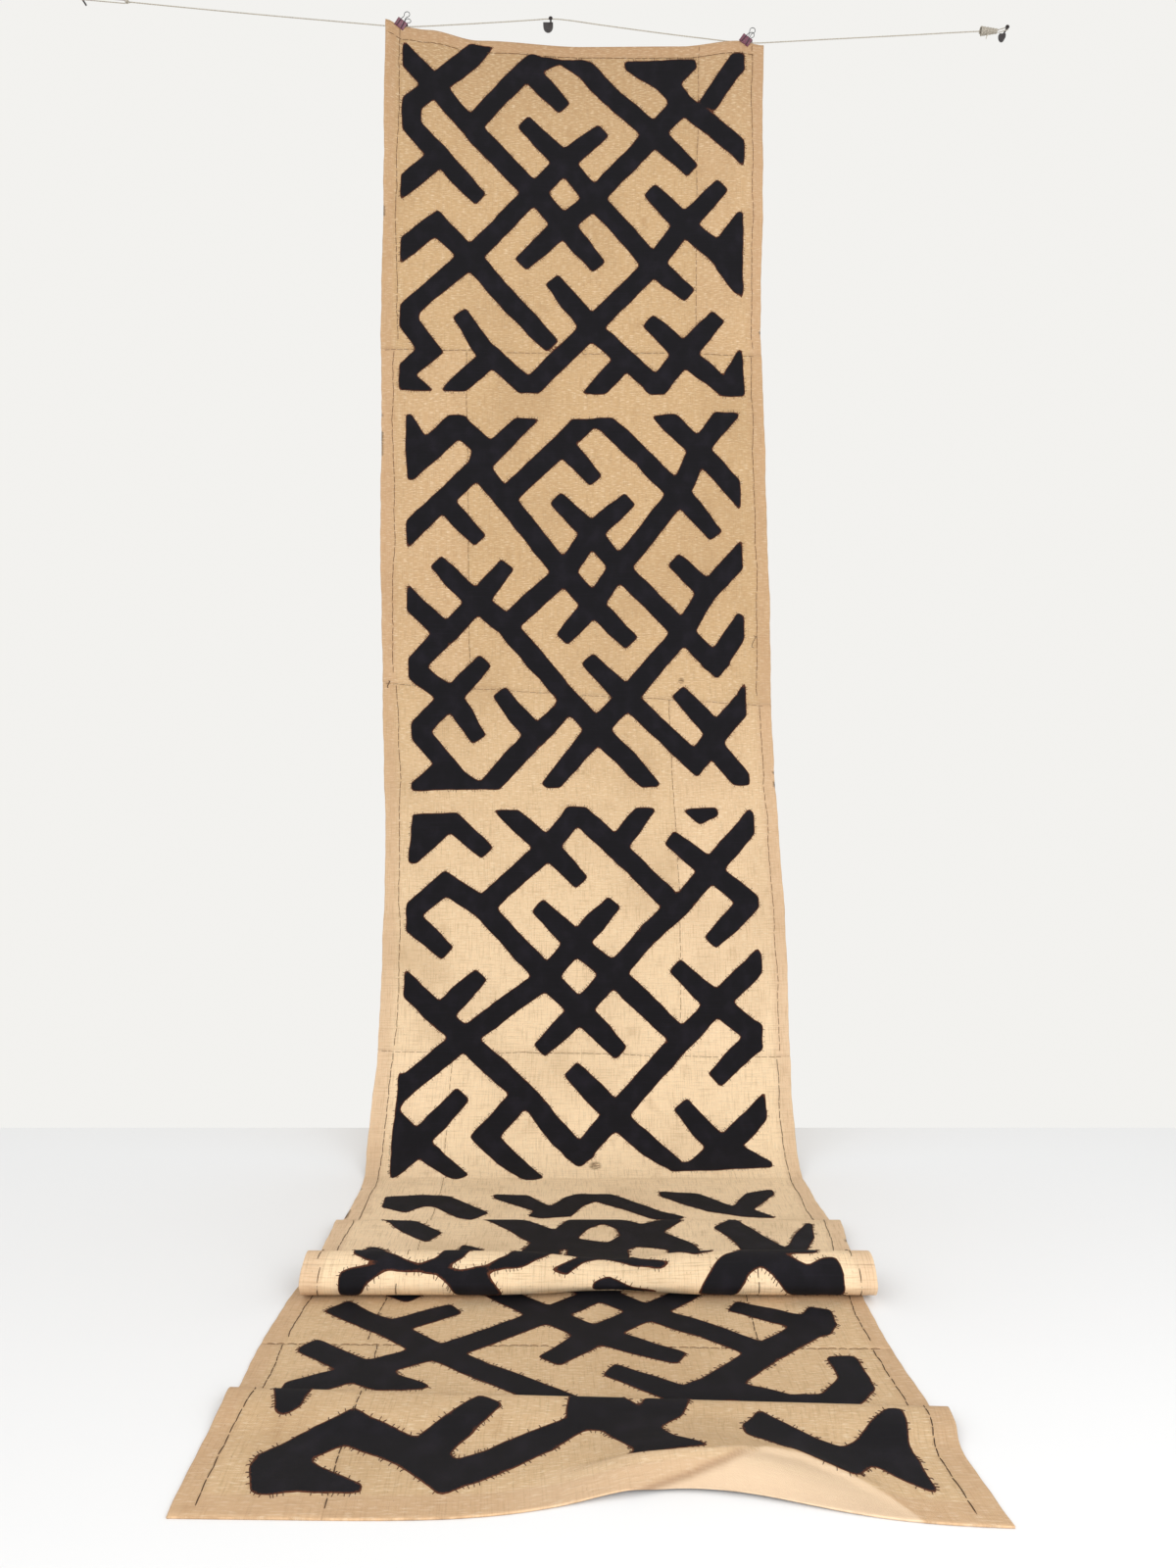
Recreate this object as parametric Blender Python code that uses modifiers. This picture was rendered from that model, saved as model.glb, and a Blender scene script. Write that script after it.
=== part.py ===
"""Kuba raffia cloth, clipped to a taut line and folded over on the floor below it.

Units are metres in the mesh and millimetres in the tables. +X is to the right as the cloth is seen,
+Y goes into the wall and +Z is up. The origin is the middle nail's end, on the wall's plane.
"""
import math

import bmesh
import bpy
from mathutils import Matrix, Vector

MM = 0.001

# The cloth and where it hangs
CLOTH_WIDTH = 655.0
CLOTH_THICK = 1.2
FLOOR_Z = -1910.0
SEAM_GAP = 0.3
SIDE_SEAM_GAP = 0.6
REST = CLOTH_THICK / 2

# The side profile of the cloth, from its top edge to its end hem. Each row is a line across the cloth.
# forward is the distance from the wall at mid width, lean is how much further forward the right end is,
# height is above the floor, centre and width place the line sideways, and parts is the number of mesh
# rows that lead to the line from the one before it.
PROFILE_COLUMNS = ("name", "forward", "lean", "height", "centre", "width", "parts")
PROFILE = (
    ("top edge", 20, 0, 1867, 41, 652, 0),
    ("top hem", 20, 0, 1846, 41, 651, 1),
    ("upper hang", 24, 0, 1600, 38, 650, 3),
    ("second hang", 32, 0, 1330, 36, 647, 3),
    ("middle hang", 41, 0, 930, 43, 655, 5),
    ("lower hang", 48, 0, 735, 46, 651, 3),
    ("first bend", 72, 0, 510, 55, 650, 3),
    ("second bend", 97, 0, 350, 59, 656, 3),
    ("third bend", 137, 0, 155, 57, 657, 3),
    ("heel", 192, 0, 40, 55, 660, 3),
    ("landing", 262, 0, REST, 58, 650, 3),
    ("first floor run", 380, 0, REST, 60, 645, 2),
    ("first floor end", 482, 0, REST + 0.5, 62, 652, 2),
    ("front fold", 493, 0, 3.2, 63, 655, 3),
    ("short back run", 481, 0, 5.6, 63, 658, 3),
    ("back fold", 461, 0, 8.0, 65, 662, 3),
    ("top run start", 474, 0, 10.4, 65, 660, 3),
    ("top run", 560, 0, 11.5, 63, 646, 3),
    ("roll rise", 622, 0, 18, 62, 638, 2),
    ("roll shoulder", 648, 0, 36, 63, 639, 2),
    ("roll crest", 672, 0, 45, 64, 640, 2),
    ("roll brow", 696, 0, 37, 64, 640, 2),
    ("roll nose", 706, 0, 21, 64, 641, 2),
    ("roll foot", 697, 0, 8.5, 64, 641, 2),
    ("under run start", 676, 0, 5.4, 63, 642, 2),
    ("under run end", 527, 0, 5.4, 62, 645, 3),
    ("hidden back fold", 516, 0, 3.2, 62, 645, 3),
    ("floor run start", 528, 0, REST, 62, 645, 3),
    ("floor run middle", 740, 0, REST, 50, 643, 5),
    ("floor run end", 934, 36, REST + 0.3, 57, 645, 4),
    ("tuck front", 944, 36, 3.0, 57, 646, 3),
    ("tuck back run", 936, 36, 5.3, 58, 650, 2),
    ("tuck back fold", 925, 36, 7.4, 60, 660, 2),
    ("end run start", 934, 36, 9.5, 60, 660, 3),
    ("end run fall", 957, 34, 7.6, 59, 657, 2),
    ("end run floor", 990, 25, REST + 0.4, 57, 653, 3),
    ("border", 1062, 14, REST, 61, 653, 3),
    ("end hem", 1104, 14, REST, 64, 653, 3),
)

# How far the top edge hangs above or below its mean line, from the left corner to the right corner
TOP_EDGE_SAG = ((0.0, 44), (0.05, 30), (0.11, 25), (0.25, 6), (0.52, -5), (0.78, -4), (0.93, 6), (1.0, -2))
TOP_SAG_FADE = 420.0

# Local shapes: where across the cloth, how wide, and how far each line there moves in mm
ROLL_DENT_AT = 0.54
ROLL_DENT_WIDTH = 0.10
ROLL_DENT = {"roll rise": (4, 2), "roll shoulder": (0, -8), "roll crest": (-6, -13),
             "roll brow": (-12, -11), "roll nose": (-15, -5), "roll foot": (-11, 2)}
END_BITE_AT = 0.62
END_BITE_LEFT = 0.18
END_BITE_RIGHT = 0.20
END_BITE = {"end run floor": (-4, 3), "border": (-22, 0), "end hem": (-44, 0)}
END_ARCH_AT = 0.68
END_ARCH_LEFT = 0.17
END_ARCH_RIGHT = 0.13
END_ARCH = {"end run fall": (0, 1), "end run floor": (0, 8), "border": (0, 21), "end hem": (0, 3)}
RIPPLE = 3.0

# Seams between the panels: the profile line above, and how far along to the next, at each edge
SEAM_COLUMNS = ("name", "left", "right")
SEAMS = (
    ("top edge", 0.0, 0.0),
    ("panels 1 and 2", 2.99, 3.02),
    ("panels 2 and 3", 4.86, 5.05),
    ("panels 3 and 4", 7.95, 8.0),
    ("panels 4 and 5", 20.8, 20.8),
    ("panels 5 and 6", 28.35, 28.35),
    ("end hem", 37.0, 37.0),
)

# Each panel is cut into a main piece and side strips. The numbers are places across the cloth in mm.
PANELS = (
    ("panel_1_main", 0, 0, 541),
    ("panel_1_strip", 0, 541, 655),
    ("panel_2_strip", 1, 0, 146),
    ("panel_2_main", 1, 146, 655),
    ("panel_3_main", 2, 0, 482),
    ("panel_3_strip", 2, 482, 655),
    ("panel_4_strip", 3, 0, 117),
    ("panel_4_main", 3, 117, 655),
    ("panel_5_strip_left", 4, 0, 109),
    ("panel_5_main", 4, 109, 520),
    ("panel_5_strip_right", 4, 520, 655),
    ("panel_6_strip", 5, 0, 121),
    ("panel_6_main", 5, 121, 655),
)
HANGING_STEP = 66.0
FOLDED_STEP = 33.0
FIRST_FOLDED_PANEL = 3

# The line, its route from the left loop to the right winding, in mm
LINE_DIAMETER = 2.0
LINE_Y = -18.1
LINE_ROUTE = ((-726.6, 32.3), (-650.0, 24.6), (-560.0, 15.9), (-470.0, 7.4), (-380.0, -0.6), (-300.0, -7.8),
              (-262.0, -10.6), (-225.0, -10.2), (-150.0, -6.4), (-75.0, -2.0), (-30.0, 1.0), (0.0, 2.85),
              (30.0, 0.5), (90.0, -8.2), (150.0, -16.6), (210.0, -24.6), (270.0, -32.0), (318.0, -37.6),
              (350.0, -39.2), (380.0, -38.2), (460.0, -33.8), (540.0, -29.6), (620.0, -25.4), (690.0, -21.4),
              (740.6, -18.8))
LINE_POINTS = 76
KNOT_LEFT_X = -731.0
WINDING_LEFT_X = 741.0
WINDING_LENGTH = 31.0
WINDING_Z = -18.6

# Nails: where each stands, its shank and its head
NAIL_COLUMNS = ("name", "x", "z", "length")
NAILS = (("nail_left", -810.0, 39.5, 24.0), ("nail_middle", 0.0, 0.0, 25.0), ("nail_right", 786.6, -14.2, 24.0))
NAIL_SHANK_RADIUS = 1.5
NAIL_HEAD_RADIUS = 3.4
NAIL_HEAD_THICK = 1.6

# Nailed saddles: outline size, depth and where each hangs below its nail
SADDLES = (("cable_clip_middle", -4.6, -8.8, 17.0, 14.0), ("cable_clip_right", 780.5, -27.0, 11.0, 11.0))
SADDLE_DEPTH = 9.0
SADDLE_Y = -13.0

# Foldback clips on the top hem
CLIP_PLACES = (("clip_left", -262.0, -12.9, 38.0, 0.0, 20.0), ("clip_right", 332.2, -41.6, 38.0, 4.0, -3.0))
CLIP_LENGTH = 19.0
CLIP_HEIGHT = 13.0
CLIP_SPINE_HALF = 4.6
CLIP_STEEL = 0.5
CLIP_JAW_FRONT = -21.2
CLIP_JAW_BACK = -16.5
WIRE_RADIUS = 0.55
HANDLE_LENGTH = 29.0

COLOURS = {
    "raffia": ((0.60, 0.42, 0.24), 0.85, 0.0),
    "raffia_strip": ((0.64, 0.46, 0.28), 0.85, 0.0),
    "line_string": ((0.55, 0.50, 0.42), 0.8, 0.0),
    "clip_paint": ((0.35, 0.13, 0.17), 0.35, 0.4),
    "wire_steel": ((0.16, 0.17, 0.17), 0.35, 0.9),
    "nail_steel": ((0.03, 0.03, 0.035), 0.4, 0.8),
    "saddle_plastic": ((0.10, 0.07, 0.055), 0.5, 0.0),
}


def clear_scene():
    """Remove every object, so the script can be run again."""
    for old in list(bpy.data.objects):
        bpy.data.objects.remove(old, do_unlink=True)


def make_material(name):
    """A Principled material with the piece's plain colour, roughness and metallic value."""
    colour, roughness, metallic = COLOURS[name]
    material = bpy.data.materials.new(name)
    material.use_nodes = True
    shader = material.node_tree.nodes["Principled BSDF"]
    shader.inputs["Base Color"].default_value = (*colour, 1.0)
    shader.inputs["Roughness"].default_value = roughness
    shader.inputs["Metallic"].default_value = metallic
    return material


def add_object(name, mesh, material, collection):
    """Link a named object that holds the mesh and its material."""
    thing = bpy.data.objects.new(name, mesh)
    mesh.materials.append(material)
    collection.objects.link(thing)
    return thing


# Cloth surface

def bell(value, centre, left, right):
    """One at the centre, falling smoothly to nothing on either side."""
    spread = left if value < centre else right
    return math.exp(-((value - centre) / spread) ** 2)


def across(table, place):
    """Read a short table of (place, value) pairs with a smooth step between neighbours."""
    for (a, low), (b, high) in zip(table, table[1:]):
        if place <= b:
            part = (place - a) / (b - a)
            part = part * part * (3 - 2 * part)
            return low + (high - low) * part
    return table[-1][1]


def profile_line(row, place):
    """Forward, height, centre and width of one profile line at a place across the cloth (0 to 1)."""
    name, forward, lean, height, centre, width, _ = row
    forward = forward + lean * (place - 0.5)
    shapes = (
        (ROLL_DENT, bell(place, ROLL_DENT_AT, ROLL_DENT_WIDTH, ROLL_DENT_WIDTH)),
        (END_BITE, bell(place, END_BITE_AT, END_BITE_LEFT, END_BITE_RIGHT)),
        (END_ARCH, bell(place, END_ARCH_AT, END_ARCH_LEFT, END_ARCH_RIGHT)),
    )
    for table, amount in shapes:
        if name in table:
            forward += table[name][0] * amount
            height += table[name][1] * amount
    return forward, height, centre, width


def blend_lines(before, start, end, after, part):
    """Cubic curve through two lines, whose slopes follow the chord between each line's neighbours."""
    def chord(a, b):
        return max(math.hypot(b[0] - a[0], b[1] - a[1]), 1e-6)

    span = chord(start, end)
    first = chord(before, start) if before else span
    last = chord(end, after) if after else span
    blended = []
    for axis in range(4):
        slope_in = (end[axis] - start[axis]) / span
        slope_out = slope_in
        if before:
            slope_in = (end[axis] - before[axis]) / (first + span)
        if after:
            slope_out = (after[axis] - start[axis]) / (span + last)
        square = part * part
        cube = square * part
        blended.append(start[axis] * (2 * cube - 3 * square + 1) + slope_in * span * (cube - 2 * square + part)
                       + end[axis] * (3 * square - 2 * cube) + slope_out * span * (cube - square))
    return blended


def cloth_point(line, place):
    """World point of the cloth's middle surface: line counts the profile's lines, place is 0 to 1."""
    index = min(int(line), len(PROFILE) - 2)
    part = line - index
    rows = [PROFILE[i] if 0 <= i < len(PROFILE) else None for i in range(index - 1, index + 3)]
    knots = [profile_line(row, place) if row else None for row in rows]
    forward, height, centre, width = blend_lines(*knots, part)
    drop = max(0.0, PROFILE[0][3] - height)
    fade = max(0.0, 1.0 - drop / TOP_SAG_FADE)
    height += across(TOP_EDGE_SAG, place) * fade
    hang = math.sin(math.pi * min(max((drop - 60.0) / 1650.0, 0.0), 1.0))
    forward += RIPPLE * hang * math.sin(math.tau * (1.45 * place + 0.12))
    height = max(height, REST)
    side = centre + (place - 0.5) * width
    return Vector((side, -forward, FLOOR_Z + height)) * MM


def panel_lines(first_seam, last_seam):
    """Profile line numbers of a panel's mesh rows, as (at the left edge, at the right edge) pairs."""
    (_, top_left, top_right), (_, end_left, end_right) = first_seam, last_seam
    middle_top = (top_left + top_right) / 2
    middle_end = (end_left + end_right) / 2
    inner = []
    for number, row in enumerate(PROFILE):
        parts = row[6]
        for k in range(parts):
            line = number - 1 + (k + 1) / parts
            if middle_top + 0.12 < line < middle_end - 0.12:
                inner.append(line)
    rows = [(top_left, top_right)]
    for line in inner:
        share = (line - middle_top) / (middle_end - middle_top)
        skew = (top_right - top_left) * (1 - share) ** 3 + (end_right - end_left) * share ** 3
        rows.append((line - skew / 2, line + skew / 2))
    rows.append((end_left, end_right))
    return rows


def line_after(line, distance, place):
    """Move a short distance in mm along the cloth from a profile line."""
    step = 0.01 if distance > 0 else -0.01
    here = cloth_point(min(max(line, 0.0), len(PROFILE) - 1.0), place)
    there = cloth_point(min(max(line + step, 0.0), len(PROFILE) - 1.0), place)
    return line + step * abs(distance) * MM / max((there - here).length, 1e-7)


def make_panel(name, number, left, right, material, collection):
    """One sewn raffia panel: a grid on the cloth's surface, given its thickness by Solidify."""
    rows = panel_lines(SEAMS[number], SEAMS[number + 1])
    step = HANGING_STEP if number < FIRST_FOLDED_PANEL else FOLDED_STEP
    columns = max(2, round((right - left) / step))
    half = SEAM_GAP / 2
    low = left + (SIDE_SEAM_GAP / 2 if left > 0 else 0.0)
    high = right - (SIDE_SEAM_GAP / 2 if right < CLOTH_WIDTH else 0.0)
    grid = bmesh.new()
    bmesh.ops.create_grid(grid, x_segments=columns, y_segments=len(rows) - 1, size=0.5)
    for corner in grid.verts:
        share = corner.co.x + 0.5
        row = round((corner.co.y + 0.5) * (len(rows) - 1))
        place = (low + share * (high - low)) / CLOTH_WIDTH
        line = rows[row][0] + (rows[row][1] - rows[row][0]) * place
        if row == 0 and number > 0:
            line = line_after(line, half, place)
        if row == len(rows) - 1 and number < len(SEAMS) - 2:
            line = line_after(line, -half, place)
        corner.co = cloth_point(line, place)
    bmesh.ops.reverse_faces(grid, faces=grid.faces)
    mesh = bpy.data.meshes.new(name)
    grid.to_mesh(mesh)
    grid.free()
    mesh.shade_smooth()
    panel = add_object(name, mesh, material, collection)
    shell = panel.modifiers.new("cloth thickness", "SOLIDIFY")
    shell.thickness = CLOTH_THICK * MM
    shell.offset = 0.0
    shell.use_quality_normals = True


# Line, nails and saddles

def smooth_route(route, count):
    """Points at even spacing along a smooth curve through the route's own points."""
    knots = [Vector(point) for point in route]
    fine = []
    for i in range(len(knots) - 1):
        before = knots[max(i - 1, 0)]
        after = knots[min(i + 2, len(knots) - 1)]
        for k in range(12):
            part = k / 12
            square = part * part
            cube = square * part
            fine.append(0.5 * ((2 * knots[i]) + (knots[i + 1] - before) * part
                               + (2 * before - 5 * knots[i] + 4 * knots[i + 1] - after) * square
                               + (3 * knots[i] - before - 3 * knots[i + 1] + after) * cube))
    fine.append(knots[-1])
    lengths = [0.0]
    for a, b in zip(fine, fine[1:]):
        lengths.append(lengths[-1] + (b - a).length)
    points = []
    at = 0
    for k in range(count):
        goal = lengths[-1] * k / (count - 1)
        while at < len(lengths) - 2 and lengths[at + 1] < goal:
            at += 1
        part = (goal - lengths[at]) / max(lengths[at + 1] - lengths[at], 1e-9)
        points.append(fine[at].lerp(fine[at + 1], part))
    return points


def make_tube(name, points, radius, material, collection, closed=False):
    """A round wire along points in mm, as a curve with a bevel and filled caps."""
    curve = bpy.data.curves.new(name, "CURVE")
    curve.dimensions = "3D"
    curve.bevel_depth = radius * MM
    curve.bevel_resolution = 2
    curve.use_fill_caps = not closed
    spline = curve.splines.new("POLY")
    spline.points.add(len(points) - 1)
    for corner, point in zip(spline.points, points):
        corner.co = (*(Vector(point) * MM), 1.0)
    spline.use_cyclic_u = closed
    spline.use_smooth = True
    thing = bpy.data.objects.new(name, curve)
    curve.materials.append(material)
    collection.objects.link(thing)
    return thing


def make_turned(name, profile, segments, place, turn, material, collection):
    """Turn a profile of (radius, height) pairs in mm about +Z, then place and turn the piece."""
    mesh = bpy.data.meshes.new(name)
    corners = [(radius * MM, 0.0, height * MM) for radius, height in profile]
    mesh.from_pydata(corners, [(i, i + 1) for i in range(len(corners) - 1)], [])
    thing = add_object(name, mesh, material, collection)
    screw = thing.modifiers.new("turned", "SCREW")
    screw.steps = segments
    screw.render_steps = segments
    screw.use_merge_vertices = True
    screw.merge_threshold = 0.00001
    screw.use_smooth_shade = True
    thing.location = Vector(place) * MM
    thing.rotation_euler = turn
    return thing


def make_nail(name, x, z, length, material, collection):
    """A round nail whose flat end is on the wall's plane and whose head faces the room."""
    top = length
    under_head = length - NAIL_HEAD_THICK
    profile = ((0.0, top), (NAIL_HEAD_RADIUS * 0.7, top), (NAIL_HEAD_RADIUS, top - 0.5),
               (NAIL_HEAD_RADIUS, under_head), (NAIL_SHANK_RADIUS, under_head - 0.4),
               (NAIL_SHANK_RADIUS, 0.0), (0.0, 0.0))
    return make_turned(name, profile, 14, (x, 0.0, z), (math.radians(90), 0.0, 0.0), material, collection)


def make_saddle(name, x, z, width, height, material, collection):
    """A small nailed saddle: a half-round block with bevelled edges."""
    points = [(width / 2, height / 2), (-width / 2, height / 2)]
    turns = 10
    for k in range(turns + 1):
        angle = math.pi + math.pi * k / turns
        points.append((width / 2 * math.cos(angle), 0.25 * height + 0.75 * height * math.sin(angle)))
    outline = bpy.data.curves.new(name, "CURVE")
    outline.dimensions = "2D"
    outline.fill_mode = "BOTH"
    outline.extrude = (SADDLE_DEPTH / 2 - 0.8) * MM
    outline.bevel_depth = 0.8 * MM
    outline.bevel_resolution = 1
    outline.offset = -0.8 * MM
    spline = outline.splines.new("POLY")
    spline.points.add(len(points) - 1)
    for corner, (px, py) in zip(spline.points, points):
        corner.co = (px * MM, py * MM, 0.0, 1.0)
    spline.use_cyclic_u = True
    saddle = bpy.data.objects.new(name, outline)
    outline.materials.append(material)
    collection.objects.link(saddle)
    saddle.location = Vector((x, SADDLE_Y, z)) * MM
    saddle.rotation_euler = (math.radians(90), 0.0, 0.0)
    return saddle


def ring_points(centre, half_length, half_width, count, gap_side):
    """A long loop in the X and Y plane, as an open run that starts and ends at one side."""
    points = []
    for k in range(count + 1):
        angle = math.pi * (k / count - 0.5)
        points.append((centre[0] + gap_side * half_width * math.cos(angle),
                       centre[1] + half_width * math.sin(angle), centre[2]))
    start = (centre[0] - gap_side * half_length, points[0][1], centre[2])
    end = (centre[0] - gap_side * half_length, points[-1][1], centre[2])
    return [start] + points + [end]


def make_line(materials, collection):
    """The taut line, the loops round its end nails, its knot and its winding."""
    string = materials["line_string"]
    route = [(x, LINE_Y, z) for x, z in LINE_ROUTE]
    make_tube("line", smooth_route(route, LINE_POINTS), LINE_DIAMETER / 2, string, collection)
    knot_centre = (KNOT_LEFT_X, LINE_Y, LINE_ROUTE[0][1] + 0.5)
    knot = ((0.0, 4.0), (1.9, 3.9), (3.6, 2.4), (4.0, 0.0), (3.5, -2.4), (1.9, -3.6), (0.0, -3.7))
    make_turned("line_knot_left", knot, 12, knot_centre, (0.0, math.radians(90), 0.0), string, collection)
    strand = LINE_DIAMETER * 0.45
    reach = NAIL_SHANK_RADIUS + strand + 0.3
    nail_x, nail_z = NAILS[0][1], NAILS[0][2]
    loop = ring_points((nail_x, LINE_Y, nail_z), abs(nail_x - KNOT_LEFT_X) - 4.1, reach, 8, -1)
    tilt = (knot_centre[2] - nail_z) / (knot_centre[0] - nail_x)
    loop = [(x, LINE_Y + (y - LINE_Y) * 0.0, nail_z + (x - nail_x) * tilt + (y - LINE_Y)) for x, y, _ in loop]
    make_tube("line_loop_left", loop, strand, string, collection)
    turns = 7
    profile = [(0.0, WINDING_LENGTH), (2.2, WINDING_LENGTH - 0.1)]
    for k in range(turns):
        share = k / (turns - 1)
        radius = 3.6 + 4.0 * share
        top = WINDING_LENGTH - 0.6 - k * (WINDING_LENGTH - 2.0) / turns
        low = top - (WINDING_LENGTH - 2.0) / turns
        profile += [(radius, top - 0.5), (radius + 0.5, (top + low) / 2), (radius, low + 0.5)]
    profile += [(2.4, 0.2), (0.0, 0.0)]
    winding_place = (WINDING_LEFT_X, LINE_Y, WINDING_Z)
    make_turned("line_winding_right", profile, 14, winding_place, (0.0, math.radians(90), 0.0), string, collection)
    nail_x, nail_z = NAILS[2][1], NAILS[2][2]
    end_x = WINDING_LEFT_X + WINDING_LENGTH + 0.4
    loop = ring_points((nail_x, LINE_Y, nail_z), nail_x - end_x, reach, 8, 1)
    tilt = (nail_z - WINDING_Z) / (nail_x - end_x)
    loop = [(x, LINE_Y, nail_z + min(0.0, x - nail_x) * tilt + (y - LINE_Y) * 0.9) for x, y, _ in loop]
    make_tube("line_loop_right", loop, strand, string, collection)
    tail = [(754.5, LINE_Y - 5.0, -24.8), (752.6, LINE_Y - 6.2, -28.0), (750.3, LINE_Y - 6.4, -31.5),
            (749.0, LINE_Y - 5.8, -36.2)]
    make_tube("line_tail_right", tail, strand, string, collection)


# Foldback clips

def clip_matrix(x, z, tilt_degrees):
    """Place of a clip: its own up leans to the right, and its origin is the middle of its jaws."""
    place = Matrix.Translation(Vector((x, 0.0, z)) * MM)
    return place @ Matrix.Rotation(math.radians(tilt_degrees), 4, "Y")


def make_clip_body(name, frame, material, collection):
    """The folded spring-steel body: two sides that meet the cloth, and a flat spine."""
    middle = (CLIP_JAW_FRONT + CLIP_JAW_BACK) / 2
    section = ((CLIP_JAW_FRONT - 0.9, -0.7), (CLIP_JAW_FRONT - 0.1, 0.0), (CLIP_JAW_FRONT - 0.3, 2.0),
               (middle - CLIP_SPINE_HALF, CLIP_HEIGHT - 0.8), (middle - CLIP_SPINE_HALF + 0.9, CLIP_HEIGHT),
               (middle + CLIP_SPINE_HALF - 0.9, CLIP_HEIGHT), (middle + CLIP_SPINE_HALF, CLIP_HEIGHT - 0.8),
               (CLIP_JAW_BACK + 0.3, 2.0), (CLIP_JAW_BACK + 0.1, 0.0), (CLIP_JAW_BACK + 0.9, -0.7))
    grid = bmesh.new()
    bmesh.ops.create_grid(grid, x_segments=len(section) - 1, y_segments=4, size=0.5)
    for corner in grid.verts:
        y, z = section[round((corner.co.x + 0.5) * (len(section) - 1))]
        corner.co = Vector((corner.co.y * CLIP_LENGTH, y, z)) * MM
    mesh = bpy.data.meshes.new(name)
    grid.to_mesh(mesh)
    grid.free()
    body = add_object(name, mesh, material, collection)
    steel = body.modifiers.new("steel thickness", "SOLIDIFY")
    steel.thickness = CLIP_STEEL * MM
    steel.offset = 0.0
    steel.use_even_offset = True
    body.matrix_world = frame
    return body


def handle_route(side, lean):
    """A wire handle in the clip's own frame: two legs on the side, a neck and a round eye."""
    jaw = CLIP_JAW_FRONT if side < 0 else CLIP_JAW_BACK
    middle = (CLIP_JAW_FRONT + CLIP_JAW_BACK) / 2
    clear = CLIP_STEEL / 2 + WIRE_RADIUS + 0.35
    foot = jaw + side * (0.3 + clear)
    shoulder = middle + side * (CLIP_SPINE_HALF + clear)
    slope = (shoulder - foot) / (CLIP_HEIGHT - 1.0)
    flat = [(4.6, 0.6), (4.4, 4.0), (3.9, 9.0), (3.2, 13.5), (2.4, 17.5), (2.6, 19.6)]
    eye_radius = 4.6
    eye_z = HANDLE_LENGTH - eye_radius
    for k in range(1, 8):
        angle = math.radians(-40 + 260 * k / 16)
        flat.append((eye_radius * math.cos(angle), eye_z + eye_radius * math.sin(angle)))
    flat.append((0.0, HANDLE_LENGTH))
    full = flat + [(-x, z) for x, z in reversed(flat[:-1])]
    bend = math.radians(lean)
    points = []
    for x, z in full:
        y = foot + slope * min(z, CLIP_HEIGHT)
        if z > CLIP_HEIGHT:
            y += side * math.sin(bend) * (z - CLIP_HEIGHT)
            z = CLIP_HEIGHT + math.cos(bend) * (z - CLIP_HEIGHT)
        points.append((x, y, z))
    return points


def make_clip(name, x, z, tilt, front_lean, back_lean, materials, collection):
    """One clip: its body and its two wire handles."""
    frame = clip_matrix(x, z, tilt)
    make_clip_body(name + "_body", frame, materials["clip_paint"], collection)
    for label, side, lean in (("front", -1, front_lean), ("back", 1, back_lean)):
        wire = make_tube(f"{name}_handle_{label}", handle_route(side, lean), WIRE_RADIUS,
                         materials["wire_steel"], collection)
        wire.matrix_world = frame


def main():
    """Build every piece into one collection."""
    clear_scene()
    collection = bpy.data.collections.new("kuba raffia cloth on a hanging line")
    bpy.context.scene.collection.children.link(collection)
    materials = {name: make_material(name) for name in COLOURS}
    for name, number, left, right in PANELS:
        material = materials["raffia_strip" if "strip" in name else "raffia"]
        make_panel(name, number, left, right, material, collection)
    make_line(materials, collection)
    for name, x, z, length in NAILS:
        make_nail(name, x, z, length, materials["nail_steel"], collection)
    for name, x, z, width, height in SADDLES:
        make_saddle(name, x, z, width, height, materials["saddle_plastic"], collection)
    for name, x, z, tilt, front_lean, back_lean in CLIP_PLACES:
        make_clip(name, x, z, tilt, front_lean, back_lean, materials, collection)


main()
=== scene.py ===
"""How the kuba raffia cloth on its hanging line looks: woven raffia, black appliqué, stitches and hardware.

Tables are in millimetres and meshes in metres. +X is to the right as the cloth is seen, +Y goes into the
wall and +Z is up. A place on the cloth is given as t, in mm from its left edge, and s, in mm along it from
the top edge, measured at mid width.
"""
from __future__ import annotations

import logging
import math
from dataclasses import dataclass, field
from enum import Enum
from typing import Iterable, Sequence

import bpy
import numpy as np
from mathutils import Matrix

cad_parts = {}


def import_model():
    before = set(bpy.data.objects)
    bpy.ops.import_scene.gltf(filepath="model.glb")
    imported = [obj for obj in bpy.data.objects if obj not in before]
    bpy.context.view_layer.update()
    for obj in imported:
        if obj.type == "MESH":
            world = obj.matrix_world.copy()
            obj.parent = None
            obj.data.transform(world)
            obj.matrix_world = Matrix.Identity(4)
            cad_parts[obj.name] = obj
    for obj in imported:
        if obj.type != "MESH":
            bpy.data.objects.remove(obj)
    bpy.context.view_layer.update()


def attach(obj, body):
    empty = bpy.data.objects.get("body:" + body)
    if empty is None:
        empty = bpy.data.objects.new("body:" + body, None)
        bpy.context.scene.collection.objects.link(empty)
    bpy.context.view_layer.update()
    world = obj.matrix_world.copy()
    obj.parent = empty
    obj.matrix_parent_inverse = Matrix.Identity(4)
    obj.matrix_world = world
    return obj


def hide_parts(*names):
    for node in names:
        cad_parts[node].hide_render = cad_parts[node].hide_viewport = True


LOG = logging.getLogger("raffia_cloth")
MM = 0.001
CLOTH_WIDTH = 655.0
FLOOR_Z = -1910.0
REST = 0.6
HALF_THICK = 0.6
SEED = 417
Array = np.ndarray
Colour = tuple[int, int, int]
Material = bpy.types.Material
Mesh = tuple[Array, list[Array]]
Piece = bpy.types.Object
Route = tuple[tuple[float, float], ...]

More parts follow.
